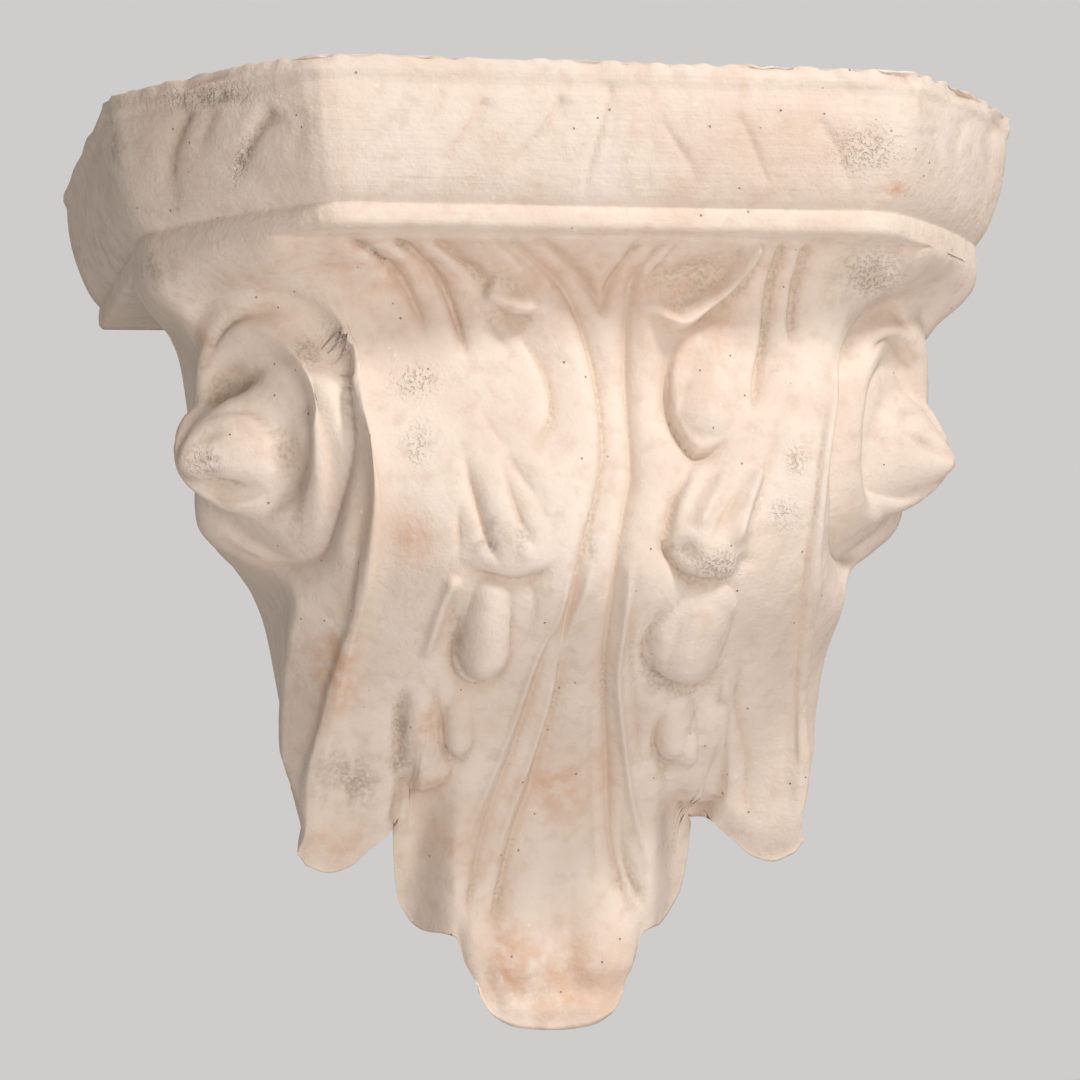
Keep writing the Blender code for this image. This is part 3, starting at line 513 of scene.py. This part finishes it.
# Where each starts to show and shows fully, and how strongly: grains, stains and dirt with some painted
# shade, painted warm shade in hollows, painted highlight on crests, and settled dirt.
CLOUDS_SHOW = (.36, .64)
MOTTLE_SHOWS = (.48, .72, .45)
BLUSH_SHOWS = (.56, .72, .30)
STAIN_AND_SHADE_SHOWS = (.25, .60, .9)
CAVITY_SHADE_SHOWS = (0, 1, .6)
CREST_HIGHLIGHT_SHOWS = (.2, 1, .25)
GRIME_AND_SHADE_SHOWS = (.34, .60)
GRIME_AND_SHADE_GRAIN = (.22, .66, .8)
SETTLED_SHOWS = (.45, .62)
SETTLED_GRAIN = (.40, .66, .40)
PITS_SHOW = (.48, .66)

# Pinholes and pale flecks: size of the cells they lie in, their edge, and which cells have one.
HOLES = .0065, (.075, .035), (.56, .60)
FLECKS = .012, (.075, .04), (.62, .66)
HOLE_COLOUR = .45, DARK
PIT_COLOUR = .16, DIRT_AND_SHADE
FLECK_COLOUR = .5, WHITE

# Bumps in metres of lumps, lines, fine grain, holes and pits, then the range of roughness as the
# fine grain rises, and the gloss.
BUMPS = .0005, .00025, .00022, -.0009, -.0006
ROUGHNESS = (.3, .7, .97, .82)
GLOSS = .30


def curve(stations, at):
    """A smooth curve through (place, value) stations that never runs past them."""
    place, value = np.array(stations, float).T
    step = np.diff(place)
    slope = np.diff(value) / step
    tangent = np.zeros(len(place))
    turning = slope[:-1] * slope[1:] <= 0
    first, second = 2 * step[1:] + step[:-1], step[1:] + 2 * step[:-1]
    safe = np.where(slope == 0, 1, slope)
    ease = np.where(turning, 1, first / safe[:-1] + second / safe[1:])
    tangent[1:-1] = np.where(turning, 0, (first + second) / ease)
    tangent[0], tangent[-1] = slope[0], slope[-1]
    at = np.clip(at, place[0], place[-1])
    i = np.clip(np.searchsorted(place, at) - 1, 0, len(step) - 1)
    t = (at - place[i]) / step[i]
    rise = value[i] * (1 + 2 * t) * (1 - t) ** 2 + value[i + 1] * t * t * (3 - 2 * t)
    return rise + step[i] * (tangent[i] * t * (1 - t) ** 2 + tangent[i + 1] * t * t * (t - 1))


def soft_curve(stations, at, reach):
    """The same curve with its bends spread over a reach to either side."""
    return sum(curve(stations, at + reach * shift) for shift in SPREAD) / len(SPREAD)


def smooth_step(low, high, at):
    """Rises softly from 0 at low to 1 at high."""
    t = np.clip((at - low) / (high - low), 0, 1)
    return t * t * (3 - 2 * t)


def between(bounds, at):
    """Rises softly to 1 over the first two bounds and falls back over the last two."""
    return smooth_step(*bounds[:2], at) * (1 - smooth_step(*bounds[2:], at))


def camera_place():
    """Where the camera stands and how it is turned."""
    offset = [CAMERA_UNIT * share for share in CAMERA_OFFSET]
    place = Matrix.Translation((offset[0], offset[1] - DEPTH, TOP + offset[2]))
    turn = Euler((radians(90 + CAMERA_PITCH), 0, -radians(CAMERA_YAW))).to_matrix().to_4x4()
    return place @ turn @ Matrix.Rotation(radians(CAMERA_ROLL), 4, "Z")


def in_photo(points):
    """Pixels of the photograph at which points of a grid are seen."""
    to_camera = np.array(camera_place().inverted())
    x, y, z = (to_camera[k, 0] * points[0] + to_camera[k, 1] * points[1] + to_camera[k, 2] * points[2]
               + to_camera[k, 3] for k in range(3))
    return PHOTO_SIZE / 2 - FOCAL * x / z, PHOTO_SIZE / 2 + FOCAL * y / z


def body_section(place, fall):
    """The plain body: place is 0 in the middle, 1 on the bead, 2 on the edge, 3 at the wall."""
    side = np.where(place < 0, -1.0, 1.0)
    bead_x, bead_y, middle_y = (soft_curve(line, fall, BODY_REACH) for line in (BEAD_X, BEAD_Y, MIDDLE_Y))
    edge_x, edge_y, wall_x = (soft_curve(line, fall, EDGE_REACH) for line in (EDGE_X, EDGE_Y, WALL_X))
    x, y = np.zeros(fall.shape), np.zeros(fall.shape)
    for shift, weight in SMOOTHING:
        shifted = place + shift * ROUND_REACH * side
        round_it = np.clip(np.abs(shifted), 0, 3)
        back = np.sign(np.where(np.abs(place) < ROUND_REACH, shifted, place))
        front, face, flank = (np.clip(round_it - start, 0, 1) for start in (0, 1, 2))
        x += weight * back * (bead_x * front + (edge_x - bead_x) * face + (wall_x - edge_x) * flank)
        y += weight * (middle_y + (bead_y - middle_y) * front ** 2 + (edge_y - bead_y) * face
                       + (BEHIND - edge_y) * flank)
    at_wall = smooth_step(*AT_WALL, np.abs(place))
    return x + at_wall * (side * wall_x - x), y + at_wall * (BEHIND - y)


def scroll_relief(along, fall):
    """The scroll's rings: a crease round the roll, and a second roll inside it."""
    u = (along - SCROLL_CENTRE[0]) / SCROLL_RADII[0]
    v = (fall - SCROLL_CENTRE[1]) / SCROLL_RADII[1]
    ring = np.hypot(u, v)
    flank = np.where(ring > 1, CREASE_FLANKS[1], CREASE_FLANKS[0])
    shut = 1 - CREASE_FADE * smooth_step(*CREASE_OPEN, u)
    outer = -CREASE_DEPTH * np.exp(-np.abs(ring - 1) / flank) * shut
    roll = ROLL_HEIGHT * np.exp(-((ring - ROLL_RING[0]) / ROLL_RING[1]) ** 2)
    inner = -INNER_DEPTH * np.exp(-np.abs(ring - INNER_RING[0]) / INNER_RING[1])
    return (outer + roll + inner) * (1 - smooth_step(*SCROLL_FALLS, fall))


def bead_relief(place, fall):
    """The rounded bead down the scroll's front edge."""
    face = np.hypot(curve(EDGE_X, fall) - curve(BEAD_X, fall), curve(EDGE_Y, fall) - curve(BEAD_Y, fall))
    past = np.abs(place) - 1
    away = past * np.where(past > 0, face, curve(BEAD_X, fall))
    height, middle, half = BEAD_CREST
    return between(BEAD_FALLS, fall) * height * np.exp(-((away - middle) / half) ** 2)


def eye_push(along, fall):
    """How much of the eye's cone each place carries, from 0 to 1."""
    away = np.hypot(along - EYE_CENTRE[0], (fall - EYE_CENTRE[1]) * EYE_SQUASH) / EYE_RADIUS
    rim_height = np.hypot(1, EYE_BLUNTNESS ** .5)
    cone = (rim_height - np.sqrt(away ** 2 + EYE_BLUNTNESS)) / (rim_height - EYE_BLUNTNESS ** .5)
    return np.clip(cone, 0, 1) * (1 - smooth_step(*EYE_RIM, away))


def body_points(place, share):
    """The body's points for a grid of places round it and shares down it, without the leaf's carving."""
    side, round_it = np.where(place < 0, -1.0, 1.0), np.abs(place)
    reach, outline = curve(LEAF_REACH, round_it), curve(LEAF_OUTLINE, round_it)
    fall = SHELF_FALL + (reach - SHELF_FALL) * share - (reach - outline) * share ** 4
    x, y = under_lip(place, fall, *body_section(place, fall))
    normal = section_normal(x, y)
    on_face = between(FACE_PLACES, round_it)
    below_top = smooth_step(SHELF_FALL, SHELF_FALL + CARVING_TOP, fall)
    along = FACE_ALONG[0] * np.abs(x) + FACE_ALONG[1] * y
    out = scroll_relief(along, fall) * on_face * below_top + bead_relief(place, fall)
    out -= EDGE_ROUNDING * smooth_step(EDGE_START, 1.0, share) ** 2 * (1 - smooth_step(*AT_WALL, round_it))
    eye = eye_push(along, fall) * on_face
    tuck = between(TUCK_PLACES, round_it) * smooth_step(*TUCK_FALLS, fall)
    x = x + normal[0] * out + side * (EYE_REACH[0] * eye - LEAF_TUCK[0] * tuck)
    y = y + LEAF_TUCK[1] * tuck + normal[1] * out + EYE_REACH[1] * eye
    return x, y, fall - EYE_REACH[2] * eye


def under_lip(place, fall, x, y):
    """The same section, set flush with the shelf's lip along the cants and let go below it."""
    lip_x, lip_y = shelf_outline(place, LIP_INSET)
    flush = between(CANT_PLACES, np.abs(place)) * (1 - smooth_step(SHELF_FALL, SHELF_FALL + LIP_BLEND, fall))
    return x + flush * (lip_x - x), y + flush * (lip_y - y)


def section_normal(x, y):
    """Outward horizontal normal of each row of points."""
    tangent_x, tangent_y = np.gradient(x, axis=1), np.gradient(y, axis=1)
    length = np.hypot(tangent_x, tangent_y) + TINY
    return tangent_y / length, -tangent_x / length


def shelf_outline(place, inset):
    """The shelf's plan at a given inset: front edge, canted corner and return, mitred."""
    half_front, half_width = SHELF_FRONT / 2 / ACROSS, SHELF_WIDTH / 2 / ACROSS
    cant = np.array([half_width - half_front, CHAMFER_DEPTH / INWARD])
    cant_x, cant_y = cant / np.hypot(*cant)
    corner_x = half_front - inset * (1 - cant_x) / cant_y
    heel_y = cant[1] + inset * (1 - cant_y) / cant_x
    x, y = np.zeros(place.shape), np.zeros(place.shape)
    for shift, weight in SMOOTHING:
        round_it = np.clip(np.abs(place) + shift * CORNER_ROUNDING, 0, 3)
        front, face, flank = (np.clip(round_it - start, 0, 1) for start in (0, 1, 2))
        bow = CANT_BOW * 4 * face * (1 - face)
        x += weight * (corner_x * front + (half_width - inset - corner_x) * face + bow * cant_y)
        y += weight * (inset + (heel_y - inset) * face - bow * cant_x + (BEHIND - heel_y) * flank)
    x = np.where(np.abs(place) < CORNER_ROUNDING, corner_x * np.abs(place), x)
    at_wall = smooth_step(*AT_WALL, np.abs(place))
    return x * np.where(place < 0, -1.0, RIGHT_STRETCH), y + at_wall * (BEHIND - y)


def shelf_profile():
    """Rows of the moulding as (fall, inset): worn top edge, fillet, ovolo, groove and lip."""
    reach, step, lip_step = (size / INWARD for size in (OVOLO_REACH, FILLET_STEP, LIP_STEP))
    fillet, lip = FILLET_HEIGHT / DOWN, LIP_HEIGHT / DOWN
    groove, full = SHELF_FALL - lip, np.radians(OVOLO_TURN)
    rows = TOP_EDGE + [(fillet * down, step * back) for down, back in FILLET_ROUNDING]
    for turn in np.linspace(0, full, OVOLO_ROWS + 1)[1:]:
        fall = FILLET_END + (groove - FILLET_END) * np.sin(turn) / np.sin(full)
        worn = GROOVE_WORN * lip_step * smooth_step(*WORN_OVER, turn / full)
        rows.append((fall, step + reach * (1 - np.cos(turn)) / (1 - np.cos(full)) - worn))
    rows += [(groove + lip * share, LIP_INSET + lip_step * back) for share, back in LIP_ROUNDING]
    return rows


def shelf_points(place):
    """Rows of the shelf, from its top edge down to the lip."""
    beside = between(CANT_PLACES, np.abs(place))
    rows = []
    for fall, inset in shelf_profile():
        under = smooth_step(SHELF_FALL - LIP_HEIGHT / DOWN, SHELF_FALL, fall)
        flush = inset + beside * under * (LIP_INSET - inset)
        rows.append((*shelf_outline(place, flush), np.full(place.shape, fall)))
    return tuple(np.array(part) for part in zip(*rows))


def underside_points(place, x, y, fall):
    """Rows from the leaf's lower edge, back and up to where the bracket leaves the wall."""
    place = place[None, :]
    wall_fall = curve(WALL_END, np.abs(place))
    wall_x = np.clip(place / 3, -1, 1) * curve(WALL_X, wall_fall)
    t = (np.arange(1, UNDERSIDE_ROWS + 1) / UNDERSIDE_ROWS)[:, None]
    free = 1 - smooth_step(*UNDER_FREE, np.abs(place))
    narrower, back, rise = UNDER_BEND
    mid_x, mid_y, mid_fall = x * narrower, y + back * free * (BEHIND - y), fall - rise * free
    start, bend, end = (1 - t) ** 2, 2 * t * (1 - t), t * t
    rows_x = start * x + bend * mid_x + end * wall_x
    rows_y = start * y + bend * mid_y + end * BEHIND
    rows_fall = start * fall + bend * mid_fall + end * wall_fall
    return rows_x, rows_y, rows_fall


def column_places():
    """Places round the body, closer together where the carving is."""
    half = COLUMNS // 2
    right = curve(COLUMN_SHARES, np.arange(half + 1) / half)
    return np.concatenate([-right[:0:-1], right])


def plain_form():
    """All rows of the outside, from the shelf's top edge to the wall below, in metres."""
    place = column_places()
    places, down = np.meshgrid(place, np.linspace(0, 1, BODY_ROWS + 1))
    body = body_points(places, down)
    under = underside_points(place, *(rows[-1:] for rows in body))
    x, y, fall = (np.concatenate(part) for part in zip(shelf_points(place), body, under))
    return np.array([x * ACROSS, y * INWARD - DEPTH, TOP - fall * DOWN])


def outward(points):
    """The outward normals of a grid of points."""
    down, across = np.gradient(points, axis=1), np.gradient(points, axis=2)
    normal = np.cross(down, across, axis=0)
    return normal / (np.linalg.norm(normal, axis=0) + TINY)


def route_points(route):
    """Points close together along a smooth route through its own points."""
    points = np.array(route, float).reshape(-1, 2)
    fine = np.linspace(0, len(points) - 1, (len(points) - 1) * ROUTE_PIECES + 1)
    i = np.clip(fine.astype(int), 0, len(points) - 2)
    t = (fine - i)[:, None]
    start, end = points[i], points[i + 1]
    lead = (end - points[np.clip(i - 1, 0, None)]) / 2
    trail = (points[np.clip(i + 2, None, len(points) - 1)] - start) / 2
    return (start * (1 + 2 * t) * (1 - t) ** 2 + lead * t * (1 - t) ** 2
            + end * t * t * (3 - 2 * t) + trail * t * t * (t - 1))


def distance_to_route(px, py, points):
    """Distance to a route, positive on the right of one walked down, and the share of it walked."""
    best = np.full(px.shape, FAR)
    signed, walked = np.full(px.shape, FAR), np.zeros(px.shape)
    for i, (start, end) in enumerate(zip(points[:-1], points[1:])):
        step = end - start
        dx, dy = px - start[0], py - start[1]
        t = np.clip((dx * step[0] + dy * step[1]) / (step @ step + TINY), 0, 1)
        away = np.hypot(dx - t * step[0], dy - t * step[1])
        nearer = away < best
        best = np.where(nearer, away, best)
        signed = np.where(nearer, np.where(step[1] * dx - step[0] * dy > 0, away, -away), signed)
        walked = np.where(nearer, (i + t) / (len(points) - 1), walked)
    return signed, walked


def near(px, py, points, reach):
    """Which pixels lie in a route's box grown by a reach."""
    low, high = points.min(axis=0) - reach, points.max(axis=0) + reach
    return (px > low[0]) & (px < high[0]) & (py > low[1]) & (py < high[1])


def add_pleat(out, px, py, route, depth, left, right):
    """A valley with a sharp bottom that fades at its lower end."""
    points = route_points(route)
    chosen = near(px, py, points, PLEAT_REACH * max(left, right))
    signed, walked = distance_to_route(px[chosen], py[chosen], points)
    open_over = np.where(signed > 0, right, left)
    start = PLEAT_STARTS[0] if route[1] < AT_LIP else PLEAT_STARTS[1]
    length = np.hypot(*np.diff(points, axis=0).T).sum()
    end = min(PLEAT_END / length, PLEAT_LAST_SHARE)
    fade = smooth_step(0, start, walked) * smooth_step(0, end, 1 - walked)
    out[chosen] -= depth * MILLIMETRE * fade * np.exp(-np.sqrt(signed ** 2 + PLEAT_ROUNDING) / open_over)


def add_ridge(out, px, py, route, height, left, right):
    """A rounded ridge that fades at both ends."""
    points = route_points(route)
    chosen = near(px, py, points, RIDGE_REACH * max(left, right))
    signed, walked = distance_to_route(px[chosen], py[chosen], points)
    half = np.where(signed > 0, right, left)
    fade = smooth_step(0, RIDGE_ENDS[0], walked) * smooth_step(0, RIDGE_ENDS[1], 1 - walked)
    out[chosen] += height * MILLIMETRE * fade * np.exp(-(signed / half) ** 2)


def add_boss(out, px, py, start, end, height, edge):
    """A drop-shaped boss between two discs, with a small valley round it."""
    along = np.array(end[:2]) - np.array(start[:2])
    t = np.clip(((px - start[0]) * along[0] + (py - start[1]) * along[1]) / (along @ along), 0, 1)
    radius = start[2] + (end[2] - start[2]) * t
    away = np.hypot(px - start[0] - t * along[0], py - start[1] - t * along[1]) / radius
    full = BOSS_START + (1 - BOSS_START) * t
    dome = np.clip(1 - away ** 2, 0, 1) ** edge
    inner, squareness, outer = BOSS_RIM
    within = np.exp(-(away / inner) ** squareness)
    beyond = np.exp(-np.clip(away - 1, 0, None) * radius / outer)
    valley = BOSS_VALLEY * max(1 - edge, 0) * np.where(away > 1, beyond, within)
    out += height * MILLIMETRE * full * (dome - valley)


def add_hollow(out, px, py, middle, half, turn, depth):
    """A soft oval hollow."""
    cos, sin = np.cos(radians(turn)), np.sin(radians(turn))
    dx, dy = px - middle[0], py - middle[1]
    away = ((dx * cos + dy * sin) / half[0]) ** 2 + ((dy * cos - dx * sin) / half[1]) ** 2
    out -= depth * MILLIMETRE * np.exp(-away)


def carving(px, py):
    """How far the leaf's carving stands out from the plain form."""
    out = np.zeros(px.shape)
    for values in PLEATS.values():
        add_pleat(out, px, py, *values)
    for values in RIDGES.values():
        add_ridge(out, px, py, *values)
    for values in BOSSES.values():
        add_boss(out, px, py, *values)
    for values in HOLLOWS.values():
        add_hollow(out, px, py, *values)
    middle, half, reach, squareness, depth = COVE
    across = np.abs((px - middle[0]) / half) ** squareness
    down = ((py - middle[1]) / np.where(py < middle[1], *reach)) ** 2
    return out - depth * MILLIMETRE * np.exp(-across - down)


def shelf_marks(px, py):
    """The tool's strokes and the chipped edges."""
    out = np.zeros(px.shape)
    for values in STROKES.values():
        add_pleat(out, px, py, *values)
    for values in CHIPS.values():
        add_hollow(out, px, py, *values)
    return out


def patches(px, py, places):
    """The strength from 0 to 1 of a set of soft patches."""
    out = np.zeros(px.shape)
    for middle, half, turn, strength in places.values():
        add_hollow(out, px, py, middle, half, turn, -strength / MILLIMETRE)
    return np.clip(out, 0, 1)


def unevenness(points, size, seed):
    """A smooth random swell over the points, between about -1 and 1, with bumps of a given size."""
    chance = np.random.default_rng(seed)
    out = np.zeros(points.shape[1:])
    for _ in range(WAVES):
        way = chance.normal(size=3)
        way *= 2 * np.pi / (size * (1 + chance.random()) * np.linalg.norm(way))
        out += np.sin(np.tensordot(way, points, 1) + chance.random() * 2 * np.pi)
    return out / np.sqrt(WAVES)


def blurred(values, times):
    """Values of a grid, softened towards their neighbours a number of times."""
    for _ in range(times):
        grown = np.pad(values, 1, mode="edge")
        values = (grown[:-2, 1:-1] + grown[2:, 1:-1] + grown[1:-1, :-2] + grown[1:-1, 2:]) / 4
    return values


def carved_form():
    """The plain form with its carving, kept inside the solid's box."""
    points = plain_form()
    normal = outward(points)
    px, py = in_photo(points)
    to_camera = np.array(camera_place().translation)[:, None, None] - points
    facing = (normal * to_camera).sum(axis=0) / np.linalg.norm(to_camera, axis=0)
    fall = (TOP - points[2]) / DOWN
    below_lip = smooth_step(SHELF_FALL, SHELF_FALL + CARVING_TOP, fall)
    seen = smooth_step(*FACING, facing)
    carved = carving(px, py) * below_lip * seen
    turned = blurred(1 - smooth_step(*TURNED_AWAY, facing), TURNED_EDGE)
    carved += turned * (blurred(carved, TURNED_BLUR) - carved)
    worn = shelf_marks(px, py) * seen
    swell = sum(height * MILLIMETRE * unevenness(points, size, seed) for height, size, seed in SWELLS)
    reach, depth, bite, seed = EDGE_WEAR
    edge = np.exp(-(fall / reach) ** 2) * depth * MILLIMETRE
    worn -= edge * np.clip(1 + unevenness(points, bite, seed), 0, None)
    on_wall = smooth_step(*AT_WALL, np.abs(column_places()))[None, :]
    points = points + normal * (carved + worn + swell * (1 - on_wall))
    out = carved + worn
    # Hollows below their surroundings get painted warm shade and settled dirt; crests get a painted
    # highlight.
    cavity = (blurred(out, CAVITY_REACH) - out) / (CAVITY_DEPTH * MILLIMETRE)
    looks = {"cavity": np.clip(cavity, 0, 1), "crest": np.clip(-cavity, 0, 1), "shelf": 1 - below_lip}
    # Some patches of dirt and of stains are painted shade.
    for look, places in (("grime_and_painted_shade", GRIME_AND_PAINTED_SHADE), ("stain_and_painted_shade", STAINS_AND_PAINTED_SHADE), ("pitted", PITTED)):
        looks[look] = patches(px, py, places) * seen
    return np.clip(points, LOW[:, None, None], HIGH[:, None, None]), looks


def surface_mesh(name, points, looks):
    """A closed mesh of a grid of points, flat on top and behind, that carries how it looks."""
    _, rows, columns = points.shape
    count = np.arange(rows * columns).reshape(rows, columns)
    corners = [count[:-1, :-1], count[1:, :-1], count[1:, 1:], count[:-1, 1:]]
    faces = np.stack(corners, axis=-1).reshape(-1, len(corners))
    back = list(count[::-1, 0]) + list(count[:, -1]) + list(count[-1, -2:0:-1])
    mesh = bpy.data.meshes.new(name)
    caps = [[int(i) for i in count[0]], [int(i) for i in back]]
    mesh.from_pydata(points.reshape(3, -1).T.tolist(), [], faces.tolist() + caps)
    mesh.update()
    mesh.shade_smooth()
    for cap in list(mesh.polygons)[-len(caps):]:
        cap.use_smooth = False
    for look, values in looks.items():
        mesh.attributes.new(look, "FLOAT", "POINT").data.foreach_set("value", values.ravel())
    return mesh


def give(tree, socket, value):
    """Sets a socket to a value, or links another socket to it."""
    if isinstance(value, bpy.types.NodeSocket):
        tree.links.new(value, socket)
    else:
        socket.default_value = value


def add(tree, kind, values, **settings):
    """A node with its settings and the values of its inputs."""
    made = tree.nodes.new("ShaderNode" + kind)
    for name, setting in settings.items():
        setattr(made, name, setting)
    for name, value in values.items():
        give(tree, made.inputs[name], value)
    return made


def mixed(tree, share, first, second):
    """The first colour with a share of the second."""
    return add(tree, "Mix", {0: share, 6: first, 7: second}, data_type="RGBA").outputs[2]


def stretched(tree, value, low, high, top=1.0, bottom=0.0):
    """A value that rises softly from the bottom at low to the top at high."""
    values = {"Value": value, "From Min": low, "From Max": high, "To Min": bottom, "To Max": top}
    return add(tree, "MapRange", values, interpolation_type="SMOOTHSTEP").outputs[0]


def product(tree, first, second):
    """Two values multiplied."""
    return add(tree, "Math", {0: first, 1: second}, operation="MULTIPLY").outputs[0]


def grain(tree, place, size, detail):
    """Noise with a grain of a given size in metres."""
    values = {"Vector": place, "Scale": 1 / size, "Detail": detail, "Roughness": GRAIN_ROUGHNESS}
    return add(tree, "TexNoise", values).outputs["Fac"]


def spots(tree, place, size, edge, chosen):
    """Round spots at some of the points scattered over cells of a given size in metres."""
    made = add(tree, "TexVoronoi", {"Vector": place, "Scale": 1 / size})
    near_point = stretched(tree, made.outputs["Distance"], *edge)
    return product(tree, near_point, stretched(tree, made.outputs["Color"], *chosen))


def look_of(tree, name):
    """A value carried by the mesh."""
    return add(tree, "Attribute", {}, attribute_name=name).outputs["Fac"]


def colour_stained_and_shaded(tree, looks, place, mottle, fine):
    """The plaster's colour: mottled cream with stains and dirt, painted shade in some of their patches,
    painted warm shade and settled dirt in its hollows, and a painted highlight on its crests.
    """
    clouds, blush = grain(tree, place, *CLOUDS), grain(tree, place, *BLUSH)
    colour = mixed(tree, stretched(tree, clouds, *CLOUDS_SHOW), CREAM, PALE)
    colour = mixed(tree, stretched(tree, mottle, *MOTTLE_SHOWS), colour, WARM)
    colour = mixed(tree, stretched(tree, blush, *BLUSH_SHOWS), colour, ORANGE)
    # Stains, and painted warm shade in the cove under the lip and the pocket under the right hook.
    stain_and_painted_shade = product(tree, looks["stain_and_painted_shade"], stretched(tree, mottle, *STAIN_AND_SHADE_SHOWS))
    colour = mixed(tree, stain_and_painted_shade, colour, ORANGE)
    # Painted warm shade: hollows are made darker and warmer.
    colour = mixed(tree, stretched(tree, looks["cavity"], *CAVITY_SHADE_SHOWS), colour, WARM)
    # Painted highlight: crests are made paler.
    colour = mixed(tree, stretched(tree, looks["crest"], *CREST_HIGHLIGHT_SHOWS), colour, PALE)
    # Dirt, and painted shade over the left eye, under and beside the buds and in the broken pit.
    grime_and_shade = product(tree, looks["grime_and_painted_shade"], stretched(tree, mottle, *GRIME_AND_SHADE_SHOWS))
    grime_and_shade = product(tree, grime_and_shade, stretched(tree, fine, *GRIME_AND_SHADE_GRAIN))
    colour = mixed(tree, grime_and_shade, colour, DIRT_AND_SHADE)
    settled = product(tree, looks["cavity"], stretched(tree, clouds, *SETTLED_SHOWS))
    settled = product(tree, settled, stretched(tree, fine, *SETTLED_GRAIN))
    return mixed(tree, settled, colour, DIRT_AND_SHADE)


def bumped(tree, layers):
    """The normal after a chain of bumps, each a height from 0 to 1 and the metres it stands for."""
    normal = None
    for height, distance in layers:
        made = add(tree, "Bump", {"Height": height, "Distance": abs(distance)}, invert=distance < 0)
        if normal:
            give(tree, made.inputs["Normal"], normal)
        normal = made.outputs[0]
    return normal


def plaster():
    """Warm cream cast plaster, mottled, with stains and dirt, settled dirt and painted warm shade in its
    hollows, painted shade in some patches, a painted highlight on its crests, pitted and full of pinholes.
    """
    material = bpy.data.materials.new("plaster")
    material.use_nodes = True
    tree = material.node_tree
    surface = tree.nodes["Principled BSDF"]
    place = add(tree, "TexCoord", {}).outputs["Object"]
    looks = {name: look_of(tree, name) for name in ("cavity", "crest", "grime_and_painted_shade", "stain_and_painted_shade", "pitted", "shelf")}
    mottle, fine, lumps = (grain(tree, place, *kind) for kind in (MOTTLE, FINE, LUMPS))
    drawn_out = add(tree, "Mapping", {"Vector": place, "Scale": LINES_DRAWN_OUT}).outputs[0]
    lines = product(tree, grain(tree, drawn_out, *LINES), looks["shelf"])
    hole, fleck = spots(tree, place, *HOLES), spots(tree, place, *FLECKS)
    pit = product(tree, stretched(tree, grain(tree, place, *PITS), *PITS_SHOW), looks["pitted"])

    colour = colour_stained_and_shaded(tree, looks, place, mottle, fine)
    for spot, kind in ((hole, HOLE_COLOUR), (pit, PIT_COLOUR), (fleck, FLECK_COLOUR)):
        colour = mixed(tree, product(tree, spot, kind[0]), colour, kind[1])
    give(tree, surface.inputs["Base Color"], colour)
    give(tree, surface.inputs["Normal"], bumped(tree, zip((lumps, lines, fine, hole, pit), BUMPS)))
    give(tree, surface.inputs["Roughness"], stretched(tree, fine, *ROUGHNESS))
    surface.inputs["Specular IOR Level"].default_value = GLOSS
    return material


def bracket():
    """The bracket's fine surface, in place of the plain solid."""
    piece = bpy.data.objects.new("bracket_surface", surface_mesh("bracket_surface", *carved_form()))
    bpy.context.scene.collection.objects.link(piece)
    piece.data.materials.append(plaster())
    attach(piece, "root")
    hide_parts("bracket")


def soft_light(name, place, size, power, colour):
    """A square studio light aimed at the bracket."""
    light = bpy.data.lights.new(name, "AREA")
    light.size = size
    light.energy = power
    light.color = colour
    holder = bpy.data.objects.new(name, light)
    holder.location = place
    holder.rotation_euler = (Vector(LIGHT_AIM) - Vector(place)).to_track_quat("-Z", "Y").to_euler()
    bpy.context.scene.collection.objects.link(holder)


def pale_floor():
    """A wide plain floor."""
    mesh = bpy.data.meshes.new("floor")
    corners = [(x * FLOOR_REACH, y * FLOOR_REACH, 0) for x, y in ((-1, -1), (1, -1), (1, 1), (-1, 1))]
    mesh.from_pydata(corners, [], [(0, 1, 2, 3)])
    floor = bpy.data.objects.new("floor", mesh)
    floor.location.z = LOW[2] - FLOOR_BELOW
    bpy.context.scene.collection.objects.link(floor)
    pale = bpy.data.materials.new("floor")
    pale.use_nodes = True
    finish = pale.node_tree.nodes["Principled BSDF"].inputs
    finish["Base Color"].default_value = FLOOR_COLOUR
    finish["Roughness"].default_value = FLOOR_ROUGHNESS
    mesh.materials.append(pale)


def studio():
    """The floor, the lamps and the light all round."""
    pale_floor()
    for name, values in LIGHTS.items():
        soft_light(name, *values)
    world = bpy.data.worlds.new("world")
    world.use_nodes = True
    tree = world.node_tree
    apart = add(tree, "SeparateXYZ", {0: add(tree, "TexCoord", {}).outputs["Generated"]})
    behind = stretched(tree, apart.outputs["Y"], *WORLD_BEHIND)
    give(tree, tree.nodes["Background"].inputs["Color"], mixed(tree, behind, WORLD_FRONT, WORLD_BACK))
    bpy.context.scene.world = world


def camera():
    """The camera at the photograph's viewing angle."""
    lens = bpy.data.cameras.new("camera")
    lens.sensor_width = SENSOR_WIDTH
    lens.lens = FOCAL / PHOTO_SIZE * lens.sensor_width
    holder = bpy.data.objects.new("camera", lens)
    holder.matrix_world = camera_place()
    bpy.context.scene.collection.objects.link(holder)
    bpy.context.scene.camera = holder


bpy.context.scene.view_settings.view_transform = "Standard"
bracket()
studio()
camera()
